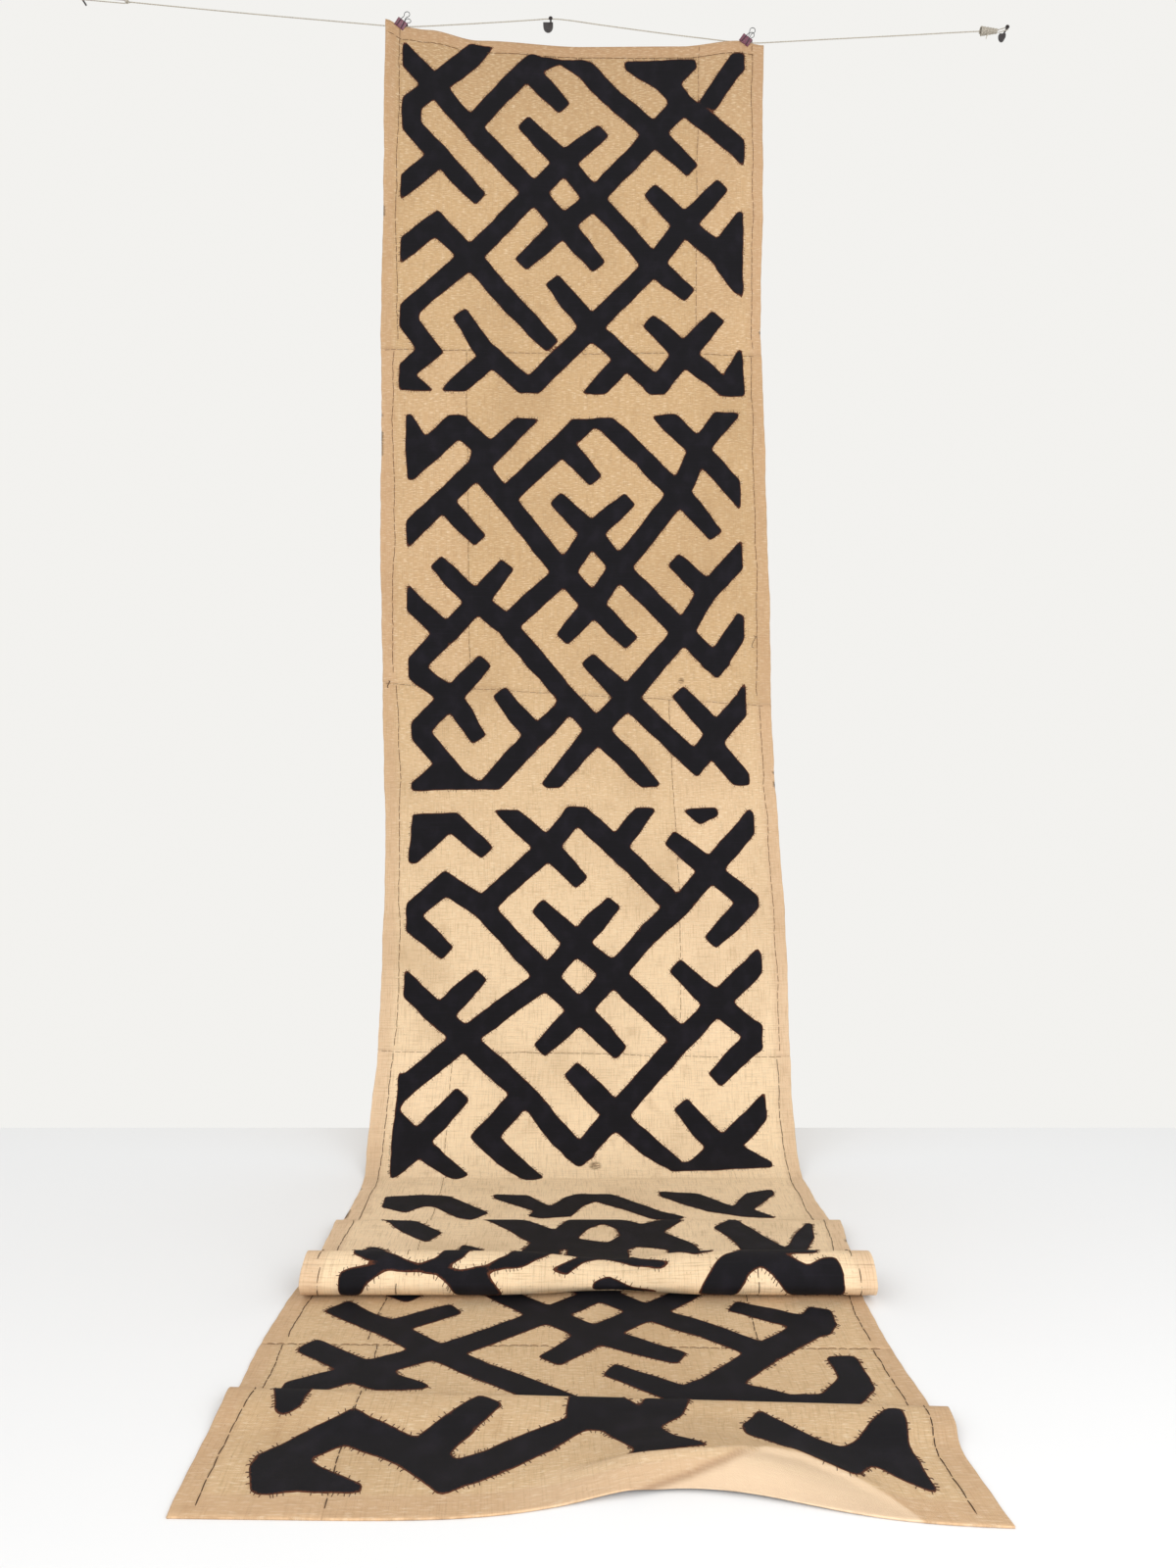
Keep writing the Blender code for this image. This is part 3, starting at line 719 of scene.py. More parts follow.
class Shader:
    """One material's node tree, built from a Principled shader."""

    def __init__(self, name: str) -> None:
        """Make the material and find its shader."""
        self.material = bpy.data.materials.new(name)
        self.material.use_nodes = True
        self.nodes = self.material.node_tree.nodes
        self.principled = self.nodes["Principled BSDF"]

    def node(self, kind: str, settings: dict[str, object], values: dict[str | int, Value]) -> bpy.types.Node:
        """Add a node, set it up, and then fill or link its sockets.

        Args:
            kind: The node's type name.
            settings: The node's own settings, set first.
            values: What goes into each socket, by its name or number.

        Returns:
            The node.
        """
        made = self.nodes.new(kind)
        for label, setting in settings.items():
            setattr(made, label, setting)
        for label, value in values.items():
            self.feed(made.inputs[label], value)
        return made

    def feed(self, socket: bpy.types.NodeSocket, value: Value) -> None:
        """Link a socket to another, or set its own value."""
        if isinstance(value, Socket):
            self.material.node_tree.links.new(value.link, socket)
        else:
            socket.default_value = value

    def math(self, operation: str, first: Socket | float, second: Socket | float = 0.0) -> Socket:
        """One Math node of two values."""
        made = self.node("ShaderNodeMath", {"operation": operation}, {0: first, 1: second})
        return Socket(self, made.outputs[0])

    def mix(self, factor: Socket | float, first: Value, second: Value) -> Socket:
        """Blend of two colours."""
        made = self.node("ShaderNodeMix", {"data_type": "RGBA"}, {0: factor, 6: first, 7: second})
        return Socket(self, made.outputs[2])

    def ramp(self, value: Socket, low: float, high: float) -> Socket:
        """Nought below low to one above high, smooth between them."""
        made = self.node("ShaderNodeMapRange", {"interpolation_type": "SMOOTHSTEP"},
                         {0: value, 1: low, 2: high})
        return Socket(self, made.outputs[0])

    def cloth_place(self) -> Socket:
        """The piece's own UV map: t and s in metres."""
        return Socket(self, self.node("ShaderNodeUVMap", {"uv_map": "cloth"}, {}).outputs[0])

    def object_place(self) -> Socket:
        """Object coordinates in metres."""
        return Socket(self, self.node("ShaderNodeTexCoord", {}, {}).outputs["Object"])

    def split(self, vector: Socket) -> tuple[Socket, Socket]:
        """The first two parts of a vector."""
        made = self.node("ShaderNodeSeparateXYZ", {}, {0: vector})
        return Socket(self, made.outputs[0]), Socket(self, made.outputs[1])

    def noise(self, vector: Socket, stretch: tuple[float, float, float], detail: float = 2.0) -> Socket:
        """Noise on a stretched vector, whose stretch is in waves to the metre."""
        scaled = self.node("ShaderNodeVectorMath", {"operation": "MULTIPLY"}, {0: vector, 1: stretch})
        made = self.node("ShaderNodeTexNoise", {}, {
            "Vector": Socket(self, scaled.outputs[0]), "Scale": 1.0, "Detail": detail})
        return Socket(self, made.outputs[0])

    def attribute(self, name: str) -> Socket:
        """A number kept on the piece's points."""
        return Socket(self, self.node("ShaderNodeAttribute", {"attribute_name": name}, {}).outputs["Fac"])

    def bump(self, height: Socket, distance: float, strength: float = 1.0) -> None:
        """Tilt the shader's normal by a height whose full range is a distance in mm."""
        made = self.node("ShaderNodeBump", {},
                         {"Height": height, "Distance": distance * MM, "Strength": strength})
        self.feed(self.principled.inputs["Normal"], Socket(self, made.outputs[0]))

    def finish(self, colour: Value, roughness: Value, metallic: float = 0.0, specular: float = 0.5,
               coat: float = 0.0) -> Material:
        """Set the shader's main sockets and return the material."""
        self.feed(self.principled.inputs["Base Color"], colour)
        self.feed(self.principled.inputs["Roughness"], roughness)
        self.principled.inputs["Metallic"].default_value = metallic
        self.principled.inputs["Specular IOR Level"].default_value = specular
        self.principled.inputs["Coat Weight"].default_value = coat
        return self.material


def linear(red: int, green: int, blue: int) -> tuple[float, float, float, float]:
    """A display colour from 0 to 255 as the linear colour that a shader takes."""
    channels = [value / 255.0 for value in (red, green, blue)]
    return (*(c / 12.92 if c <= 0.04045 else ((c + 0.055) / 1.055) ** 2.4 for c in channels), 1.0)


# Finishes

# Stains on the cloth: place across and along in mm, radius in mm, and strength
STAINS = (
    (346.0, 1895.0, 9.0, 0.9),
    (504.0, 1098.0, 5.0, 0.8),
    (424.0, 553.0, 4.0, 0.7),
    (300.0, 1418.0, 5.0, 0.5),
)


@dataclass(frozen=True)
class RaffiaFinish:
    """Plain-woven raffia: slubby threads, streaks, and a slow change of tone along the cloth, paler down the
    hang as painted light.
    """

    name: str
    upper: Colour
    lower: Colour
    end: Colour = (216, 184, 144)
    thread: float = 1.15
    hem_share: float = 0.32
    roughness: float = 0.85
    bump_depth: float = 0.42

    def make(self) -> Material:
        """Build the material."""
        shader = Shader(self.name)
        place = shader.cloth_place()
        across, along = shader.split(place)
        turn = math.tau / (self.thread * MM)
        warp = shader.math("SINE", across * turn + shader.noise(place, (60.0, 60.0, 1.0)) * 7.0)
        weft = shader.math("SINE", along * turn + shader.noise(place, (55.0, 75.0, 1.0)) * 7.0)
        weave = warp * weft
        streak_down = shader.noise(place, (620.0, 30.0, 1.0))
        streak_across = shader.noise(place, (26.0, 680.0, 1.0))
        slub = shader.noise(place, (110.0, 640.0, 1.0), 3.0)
        fleck = shader.noise(place, (700.0, 190.0, 1.0), 3.0)
        mottle = shader.noise(place, (6.0, 5.0, 1.0), 4.0)
        handling = shader.noise(place, (26.0, 21.0, 1.0), 3.0)
        darker = shader.mix(0.5, linear(*self.upper), linear(128, 96, 62))
        # Painted light: the tone grows paler from the upper to the lower colour down the hang, standing in
        # for brighter light on the lower cloth.
        tone = shader.mix(shader.ramp(along, 0.9, 1.8), linear(*self.upper), linear(*self.lower))
        # Each layer: what it follows, where it starts and is full, how strong it is, and its colour
        layers = (
            (along, 2.45, 2.9, 1.0, linear(*self.end)),
            (along, 0.26, 0.0, 0.45, linear(168, 134, 98)),
            (streak_down, 0.47, 0.74, 0.38, darker),
            (streak_across, 0.47, 0.74, 0.34, darker),
            (slub, 0.48, 0.74, 0.60, linear(244, 226, 194)),
            (mottle, 0.45, 0.75, 0.35, darker),
            (handling, 0.58, 0.80, 0.25, linear(164, 124, 80)),
            (fleck, 0.66, 0.76, 0.55, linear(120, 84, 48)),
            (weave, 0.1, -0.9, 0.28, linear(132, 98, 62)),
        )
        for value, low, high, amount, over in layers:
            tone = shader.mix(shader.ramp(value, low, high) * amount, tone, over)
        tone = shader.mix(shader.attribute("hem") * self.hem_share, tone, linear(190, 150, 120))
        for t, s, size, strength in STAINS:
            off = (across - t * MM) * (across - t * MM) + (along - s * MM) * (along - s * MM)
            blot = shader.ramp(off, (1.3 * size * MM) ** 2, 0.0) * shader.ramp(slub, 0.35, 0.55)
            tone = shader.mix(blot * strength, tone, linear(96, 66, 38))
        # Painted light: the pleat's facet, and the band more weakly, made paler as if more brightly lit.
        tone = shader.mix(shader.attribute("facet") * 0.75, tone, linear(226, 200, 170))
        # Painted shadow: a dark line under the band's front edge at the end pleat.
        tone = shader.mix(shader.attribute("lip_line") * 0.62, tone, linear(128, 92, 62))
        shader.bump(weave * 0.5 + slub * 0.9 + streak_down * 0.5, self.bump_depth)
        return shader.finish(tone, self.roughness, specular=0.2)


@dataclass(frozen=True)
class AppliqueFinish:
    """Black-dyed raffia with a worn bloom and a reddish-brown edge where it is stitched down."""

    name: str = "black_raffia"
    body: Colour = (12, 10, 15)
    worn: Colour = (31, 27, 36)
    edge: Colour = (92, 52, 34)
    thread: float = 1.0

    def make(self) -> Material:
        """Build the material."""
        shader = Shader(self.name)
        place = shader.cloth_place()
        across, along = shader.split(place)
        turn = math.tau / (self.thread * MM)
        weave = (shader.math("SINE", across * turn + shader.noise(place, (70.0, 70.0, 1.0)) * 6.0)
                 * shader.math("SINE", along * turn))
        bloom = shader.noise(place, (38.0, 30.0, 1.0), 4.0)
        streak = shader.noise(place, (16.0, 520.0, 1.0))
        tone = shader.mix(shader.ramp(bloom, 0.42, 0.8) * 0.55, linear(*self.body), linear(*self.worn))
        tone = shader.mix(shader.ramp(streak, 0.5, 0.85) * 0.35, tone, linear(*self.worn))
        ragged = shader.attribute("rim") + (shader.noise(place, (520.0, 520.0, 1.0)) - 0.5) * 2.6
        tone = shader.mix(1.0 - shader.ramp(ragged, 0.3, 1.7), tone, linear(*self.edge))
        shader.bump(weave * 0.5 + streak * 0.6, 0.22)
        return shader.finish(tone, 0.86, specular=0.22)


@dataclass(frozen=True)
class ThreadFinish:
    """Spun or stripped fibre with streaks along its own run of Object coordinates."""

    name: str
    body: Colour
    shade: Colour
    roughness: float = 0.8

    def make(self) -> Material:
        """Build the material."""
        shader = Shader(self.name)
        fibre = shader.noise(shader.object_place(), (700.0, 700.0, 700.0), 3.0)
        tone = shader.mix(shader.ramp(fibre, 0.4, 0.7), linear(*self.body), linear(*self.shade))
        shader.bump(fibre, 0.15)
        return shader.finish(tone, self.roughness, specular=0.3)


@dataclass(frozen=True)
class HardFinish:
    """Painted, bare or moulded hard stuff with small scuffs; on the clip paint and the saddle plastic the
    pale patches stand in as painted highlights.
    """

    name: str
    body: Colour
    scuff_and_glint: Colour
    roughness: float
    metallic: float = 0.0
    coat: float = 0.0
    scuff_and_glint_amount: float = 0.4

    def make(self) -> Material:
        """Build the material."""
        shader = Shader(self.name)
        place = shader.object_place()
        grain = shader.noise(place, (620.0, 620.0, 620.0), 4.0)
        # Pale patches: scuffs, and painted highlights on the clip paint and the saddle plastic.
        scuff_and_glint_mask = shader.ramp(grain, 0.55, 0.75) * self.scuff_and_glint_amount
        tone = shader.mix(scuff_and_glint_mask, linear(*self.body), linear(*self.scuff_and_glint))
        shader.bump(grain, 0.05)
        return shader.finish(tone, self.roughness + 0.25 * scuff_and_glint_mask, self.metallic, 0.5, self.coat)


class Finishes:
    """Every material of the object, made once."""

    def __init__(self) -> None:
        """Build the materials."""
        # The lower colours are paler than the upper ones as painted light down the hang.
        self.raffia = RaffiaFinish("woven_raffia", (204, 169, 126), (247, 219, 181)).make()
        self.strip = RaffiaFinish("woven_raffia_strip", (204, 169, 128), (246, 218, 181), thread=1.3).make()
        self.black = AppliqueFinish().make()
        self.dark_thread = ThreadFinish("dark_thread", (58, 42, 32), (92, 66, 44)).make()
        self.brown_thread = ThreadFinish("brown_thread", (116, 84, 54), (88, 62, 38)).make()
        self.edge_thread = ThreadFinish("edge_thread", (58, 36, 30), (104, 66, 42)).make()
        self.string = ThreadFinish("line_string", (180, 173, 160), (142, 135, 124)).make()
        # The pale second colour of the clip paint is a painted highlight.
        self.paint = HardFinish("clip_paint", (98, 42, 62), (178, 142, 152), 0.36, coat=0.25).make()
        self.wire = HardFinish("wire_steel", (62, 64, 68), (104, 104, 106), 0.45, 0.55).make()
        self.nail = HardFinish("nail_steel", (46, 42, 44), (104, 78, 60), 0.42, 0.7).make()
        # The pale second colour of the saddle plastic is a painted highlight.
        self.plastic = HardFinish("saddle_plastic", (46, 41, 42), (92, 84, 80), 0.5).make()


# Raffia panels

class Hold(Enum):
    """How a panel is held."""

    HUNG = "hung"
    FOLDED = "folded"


@dataclass
class RaffiaPanel:
    """One sewn piece of the cloth, a closed sheet between two cross seams and two places across."""

    name: str
    number: int
    left: float
    right: float
    hold: Hold
    column_step: float = 7.0
    row_step: float = 6.0
    hem_width: float = 21.0
    hem_front: float = 0.25
    hem_back: float = 0.55
    groove: float = 0.28
    edge_round: float = 0.45
    edge_wander: float = 1.3
    groove_reach: float = 1.6
    groove_back: float = 0.4
    selvedge: float = 1.2
    below_clips: tuple[float, float] = (55.0, 110.0)

    @staticmethod
    def from_edge(t: Array, s: Array) -> Array:
        """Distance to the nearest outer edge of the whole cloth, in mm."""
        return np.minimum(np.minimum(t, CLOTH_WIDTH - t), np.minimum(s, float(DRAPE.cut[-1]) - s))

    def lift(self, t: Array, s: Array) -> tuple[Array, Array]:
        """Front and back height above the middle surface.

        The turned hem adds its front and back height within its width of an outer edge, and fades near
        the top where the line and the clips pass. A groove marks each seam.

        Args:
            t: Places across the cloth in mm.
            s: Places along the cloth in mm.

        Returns:
            The two heights at each place in mm.
        """
        hem = 1.0 - smooth_step(self.from_edge(t, s), self.hem_width - 3.0, self.hem_width + 1.5)
        front = HALF_THICK + self.hem_front * hem
        back = HALF_THICK + self.hem_back * hem * smooth_step(s, *self.below_clips)
        inside = np.full(t.shape, 99.0)
        if self.left > 0:
            inside = np.minimum(inside, t - self.left)
        if self.right < CLOTH_WIDTH:
            inside = np.minimum(inside, self.right - t)
        if self.number > 0:
            inside = np.minimum(inside, np.abs(s - DRAPE.seam(self.number, t)))
        if self.number < len(SEAMS) - 2:
            inside = np.minimum(inside, np.abs(s - DRAPE.seam(self.number + 1, t)))
        groove = self.groove * np.exp(-(inside / self.groove_reach) ** 2)
        return front - groove, back - self.groove_back * groove

    def places(self) -> tuple[Array, Array]:
        """Grid of t and s over the panel, with rows that lean from one slanted seam to the other."""
        _, top_left, top_right = SEAMS[self.number]
        _, end_left, end_right = SEAMS[self.number + 1]
        low, high = (top_left + top_right) / 2, (end_left + end_right) / 2
        lines = DRAPE.rows(low, high, self.row_step)
        share = (lines - low) / (high - low)
        skew = (top_right - top_left) * (1 - share) ** 3 + (end_right - end_left) * share ** 3
        count = max(4, round((self.right - self.left) / self.column_step) + 1)
        columns = np.linspace(self.left, self.right, count)
        ends = np.array([columns[0] + self.selvedge, columns[-1] - self.selvedge])
        columns = np.sort(np.concatenate([columns, ends]))
        t = np.broadcast_to(columns, (len(lines), len(columns))).copy()
        line = lines[:, None] + skew[:, None] * (t / CLOTH_WIDTH - 0.5)
        return t, DRAPE.along(np.clip(line, 0.0, LAST_LINE))

    def build(self, finishes: Finishes) -> Piece:
        """The front and back are grids at their lifts along the normal, and a rounded strip joins their
        rims half way between them. Only the cloth's own side edges wander.

        Args:
            finishes: The materials.

        Returns:
            The sheet.
        """
        t, s = self.places()
        rows, columns = t.shape
        count = rows * columns
        wander = EDGE_WANDER(s, 0.0 * s) * self.edge_wander * smooth_step(s, 30.0, 90.0)
        t_real = t + np.where(t <= 0.01, wander, 0.0) + np.where(t >= CLOTH_WIDTH - 0.01, wander, 0.0)
        front_lift, back_lift = self.lift(t, s)
        front = DRAPE.on_cloth(t_real, s, front_lift).reshape(-1, 3)
        back = DRAPE.on_cloth(t_real, s, -back_lift).reshape(-1, 3)
        index = np.arange(count).reshape(rows, columns)
        loop = rim(index)
        middle = (front + back) / 2
        edge = middle[loop] + unit(middle[loop] - middle[rim(index, 1)]) * self.edge_round
        after = np.roll(loop, -1)
        ring = 2 * count + np.arange(len(loop))
        ring_after = np.roll(ring, -1)
        faces = [grid_faces(rows, columns), grid_faces(rows, columns, start=count)[:, ::-1],
                 np.stack([loop, after, ring_after, ring], axis=-1),
                 np.stack([ring, ring_after, after + count, loop + count], axis=-1)]
        place = np.stack([t.ravel(), s.ravel()], axis=-1)
        place = np.vstack([place, place, place[loop]])
        across, down = place[:, 0], place[:, 1]
        hem = 1.0 - smooth_step(self.from_edge(across, down), self.hem_width - 1.0, self.hem_width + 1.0)
        strip = "strip" in self.name
        # The pleat's masks: painted light on its facet and painted shadow under its band's front edge.
        sheet = make_object(f"cloth_{self.name}", np.vstack([front, back, edge]), faces,
                            finishes.strip if strip else finishes.raffia, place, hem=hem,
                            facet=PLEAT.facet(across, down), lip_line=PLEAT.line(across, down))
        return fit(sheet, self.name)

    def flat(self) -> tuple[float, float]:
        """Flat width and length in metres."""
        middle = (self.left + self.right) / 2
        length = float(DRAPE.seam(self.number + 1, middle) - DRAPE.seam(self.number, middle))
        return (self.right - self.left) * MM, length * MM


PANELS = (
    RaffiaPanel("panel_1_main", 0, 0, 541, Hold.HUNG),
    RaffiaPanel("panel_1_strip", 0, 541, 655, Hold.HUNG),
    RaffiaPanel("panel_2_strip", 1, 0, 146, Hold.HUNG),
    RaffiaPanel("panel_2_main", 1, 146, 655, Hold.HUNG),
    RaffiaPanel("panel_3_main", 2, 0, 482, Hold.HUNG),
    RaffiaPanel("panel_3_strip", 2, 482, 655, Hold.HUNG),
    RaffiaPanel("panel_4_strip", 3, 0, 117, Hold.FOLDED),
    RaffiaPanel("panel_4_main", 3, 117, 655, Hold.FOLDED),
    RaffiaPanel("panel_5_strip_left", 4, 0, 109, Hold.FOLDED),
    RaffiaPanel("panel_5_main", 4, 109, 520, Hold.FOLDED),
    RaffiaPanel("panel_5_strip_right", 4, 520, 655, Hold.FOLDED),
    RaffiaPanel("panel_6_strip", 5, 0, 121, Hold.FOLDED),
    RaffiaPanel("panel_6_main", 5, 121, 655, Hold.FOLDED, column_step=3.0, row_step=2.4),
)


# Appliqué: a traditional lattice of crossing bars, charted in steps of its own lattice



@dataclass(frozen=True)
class Square:
    """One square of the pattern.

    bars are the centrelines of its bars and patches are filled shapes, both in lattice steps (column,
    row) from the small diamond at its centre. holes are cut out of the patches.
    """

    name: str
    centre: tuple[float, float]
    step: tuple[float, float]
    sides: tuple[float, float]
    top: Route
    foot: Route
    goes_with: str
    bars: tuple[Route, ...]
    patches: tuple[Route, ...] = ()
    holes: tuple[Route, ...] = ()
    left_out: tuple[tuple[float, float], ...] = ()


SQUARE_1 = Square(
    "applique_1", (312.6, 258.0), (52.0, 54.0), (-5.43, 5.98),
    ((-5.5, -4.4), (-3.0, -4.65), (0.0, -4.35), (6.0, -4.42)), ((-5.5, 6.37), (6.0, 6.57)), "panel_1_main",
    bars=(
        ((-5.8, -4.3), (-4.35, -3.1), (-3.15, -2), (-1, 0), (0, 1), (1.2, 2.4)),
        ((-2.4, -4.95), (-4.35, -3.1), (-5.1, -2.5), (-5.1, -1.85), (-2.75, 0.25)),
        ((-4.3, -0.85), (-5.8, 0.35)),
        ((-5.9, 2.3), (-4.2, 1.08), (-3.1, 2.1)),
        ((1.28, -2.08), (0, -1.03), (-1, 0), (-3.1, 2.1), (-5.1, 3.75), (-5.1, 4.2), (-4.4, 5.1),
         (-5.1, 5.7), (-5.1, 6.3)),
        ((-4, 6.7), (-2.45, 5.3)),
        ((5.3, -0.25), (4, 1), (3, 2.33), (0.95, 4.33), (-1.12, 6.3), (-2.6, 5.05), (-3.43, 3.87)),
        ((-3.1, 2.1), (-0.35, 4.95)),
        ((-1.4, -2.28), (0, -1.03), (1, 0.15), (3, 2.33), (4.22, 3.33)),
        ((-1.42, 2.3), (0, 1), (1, 0.15), (3, -1.95), (3.9, -2.95)),
        ((-3.15, -2), (-0.9, -4.4)),
        ((-1.2, -3.85), (-0.02, -2.78)),
        ((0.3, -4.35), (1.65, -3.03), (3, -1.95), (4.28, -0.72)),
        ((3.4, -3.4), (4.95, -2.05), (6.4, -0.85)),
        ((6.3, -4.85), (4.7, -2.75)),
        ((2.82, -0.13), (4, 1), (5, 1.85), (6.3, 3.3)),
        ((2.82, 4.12), (4, 5.2), (5.35, 6.3)),
        ((5.2, 3.95), (4, 5.2), (3.12, 6.3), (0.95, 4.33), (-0.38, 2.77)),
        ((1.9, 5.55), (0.7, 6.75)),
    ),
    patches=(
        ((-1.28, -4.4), (0.85, -4.32), (1.3, -3.9), (0.4, -3.8), (-0.2, -4.18), (-0.75, -3.88),
         (-1.32, -3.45)),
        ((1.95, -4.3), (4.3, -4.35), (4.38, -4.05), (3.85, -3.55), (4.1, -3.25), (4, -2.5), (3.4, -2.88),
         (3.38, -3.05), (3, -3.4), (1.98, -4)),
        ((5, 1.58), (5.8, 0.62), (6.05, 0.65), (6.05, 3.1), (5.7, 3.25), (5.05, 2.45)),
        ((5.1, 6.6), (5.35, 5.75), (5.85, 5.05), (5.98, 5), (5.98, 6.55)),
        ((-5.45, 5.9), (-4.85, 5.9), (-4.2, 6.38), (-3.9, 6.42), (-5.45, 6.4)),
    ))

SQUARE_2 = Square(
    "applique_2", (354.4, 903.0), (51.5, 54.5), (-6.05, 5.0),
    ((-6.1, -4.8), (0.0, -4.65), (5.0, -4.87)), ((-6.1, 7.0), (5.0, 6.83)), "panel_2_main",
    bars=(
        ((-5.1, -0.15), (-3.75, 1.12), (-2.8, 1.85), (-1.05, 3.85), (0.1, 5.1), (1.9, 6.95)),
        ((-2.75, -0.1), (-3.75, 1.12), (-4.9, 2.25), (-5.75, 3.05), (-5.75, 3.3), (-4.65, 4.08),
         (-3.75, 5.4)),
        ((-6.3, 0.75), (-4.9, 2)),
        ((-3.5, 2.92), (-4.65, 4.08), (-5.65, 5), (-5.65, 5.3), (-4.4, 6.7)),
        ((-3.7, 7), (-2.06, 5.45), (-1.07, 4.52), (-0.7, 4.2)),
        ((-3.08, 3.92), (-2, 5.2)),
        ((-1.8, -4.85), (-3.75, -3.05), (-6.3, -0.75)),
        ((-4.6, -4.75), (-3.5, -3.75), (-3.65, -3.1), (-0.88, 0.2), (0.03, 1.2), (1.32, 2.4)),
        ((-4.75, -1.93), (-3.6, -0.78)),
        ((-2.87, -2.08), (-0.8, -3.95), (-0.2, -4.6)),
        ((-0.85, -3.9), (0.25, -2.67)),
        ((0.35, -4.75), (1.75, -3.4), (2.97, -2.27), (4.15, -0.93)),
        ((2.2, -5), (3.65, -3.67), (5.3, -1.85)),
        ((4.9, -5.1), (3.65, -3.67), (2.97, -2.27), (0.92, 0.06), (0.03, 1.2), (-1, 2.32)),
        ((1.33, -2.13), (0.03, -1.05), (-0.88, 0.2), (-2.8, 1.85)),
        ((-1.12, -2.15), (0.03, -1.05), (0.92, 0.06), (2.97, 2.08), (4.05, 3.05), (5.05, 1.6)),
        ((5.2, -0.6), (3.78, 0.83), (2.97, 2.08), (1.1, 4.1), (0.1, 5.1), (-1.6, 6.95)),
        ((2.7, -0.2), (3.75, 0.75)),
        ((5.35, 3.6), (4.95, 4.2), (3.88, 5.4), (3.25, 6.1), (1.1, 4.1), (-0.18, 2.86)),
        ((2.77, 3.88), (3.9, 5.1), (3.95, 5.7), (5.1, 7.1)),
    ),
    patches=(
        ((-6.1, -4.78), (-5.85, -4.78), (-5.4, -4.08), (-4.65, -4.75), (-4, -4.72), (-3.9, -3.9),
         (-4.35, -3.97), (-5.75, -2.7), (-6, -2.68)),
        ((-0.65, -4.65), (0.9, -4.63), (0.4, -4.25), (0.22, -4.33), (-0.35, -3.87)),
        ((-6.1, 6.77), (-5.3, 6.17), (-4.6, 6.17), (-3.9, 6.63), (-3.1, 6.93), (-3.1, 7), (-6.1, 7)),
    ))

SQUARE_3 = Square(
    "applique_3", (302.0, 1568.0), (52.0, 54.0), (-5.12, 6.0),
    ((-5.2, -4.55), (0.0, -4.75), (6.0, -4.75)), ((-5.2, 6.8), (0.0, 6.8), (6.0, 6.4)), "panel_3_main",
    bars=(
        ((-3.75, -0.28), (-5.1, -1.42), (-3.9, -2.4), (-2.73, -1.67), (-0.7, 0.43), (0.37, 1.4),
         (1.66, 2.66)),
        ((-1, -1.75), (0.23, -0.6), (1.36, 0.3), (3.52, 2.26)),
        ((1.44, -1.88), (0.23, -0.6), (-0.7, 0.43), (-3.2, 2.2), (-5.2, 3.9)),
        ((-2.73, -1.67), (-0.65, -3.5), (0.35, -4.6), (1.67, -3.38), (3.15, -1.9)),
        ((-2.3, -4.95), (-0.65, -3.5), (0.45, -2.4)),
        ((2.7, -4.85), (1.53, -3.5)),
        ((6.1, -4.5), (4.54, -2.82), (3.72, -1.98), (2.44, -0.8), (1.36, 0.3), (0.37, 1.4), (-0.88, 2.58)),
        ((3.25, -3.83), (4.54, -2.82), (5.7, -1.83), (4.4, -0.6)),
        ((-5.4, 0.3), (-3.9, 1.65), (-3.2, 2.2), (-1.5, 3.62), (-0.85, 4.2), (0.4, 5.65), (1.47, 4.42),
         (3.25, 2.5), (4.6, 1.2), (6.1, -0.25)),
        ((-2.7, 0.3), (-3.9, 1.5)),
        ((3.27, 0.03), (4.6, 1.2), (5.85, 2.15), (4.45, 3.43)),
        ((0.1, 3.07), (1.47, 4.42), (3.2, 6.1)),
        ((3.42, 4.1), (4.6, 5.45)),
        ((6.3, 3.85), (4.6, 5.45), (3.9, 6.05)),
        ((-3.1, 3.8), (-4.35, 5.2)),
        ((-4.5, 5.1), (-4.05, 5.55), (-3, 6.65)),
        ((-1.34, 3.9), (-2.38, 5.05), (-0.85, 6.75)),
    ),
    patches=(
        ((3.75, -4.68), (4.85, -4.77), (4.9, -4.5), (4.28, -4.2), (3.8, -4.55)),
        ((-4.98, -4.53), (-3.5, -4.6), (-2.35, -3.5), (-2.75, -3.15), (-3.75, -3.95), (-4.85, -3),
         (-5.1, -3)),
        ((4.15, 5.35), (5.1, 5.25), (6, 5.9), (6.1, 6.15), (2.98, 6.35), (2.92, 6.1), (3.6, 5.9)),
        ((-5.12, 3.2), (-4.6, 3.3), (-4.95, 4.28), (-4.45, 4.75), (-3.9, 5.15), (-4.35, 5.85),
         (-5.03, 6.8), (-5.12, 6.4)),
    ))

# Where the fourth square's bars go over the roll's crest, in lattice columns
OVER_THE_CREST = ((-5.33, -4.72), (-3.13, -2.52), (-1.57, -0.68), (-0.52, 0.96), (1.87, 2.65), (3.58, 5.18))

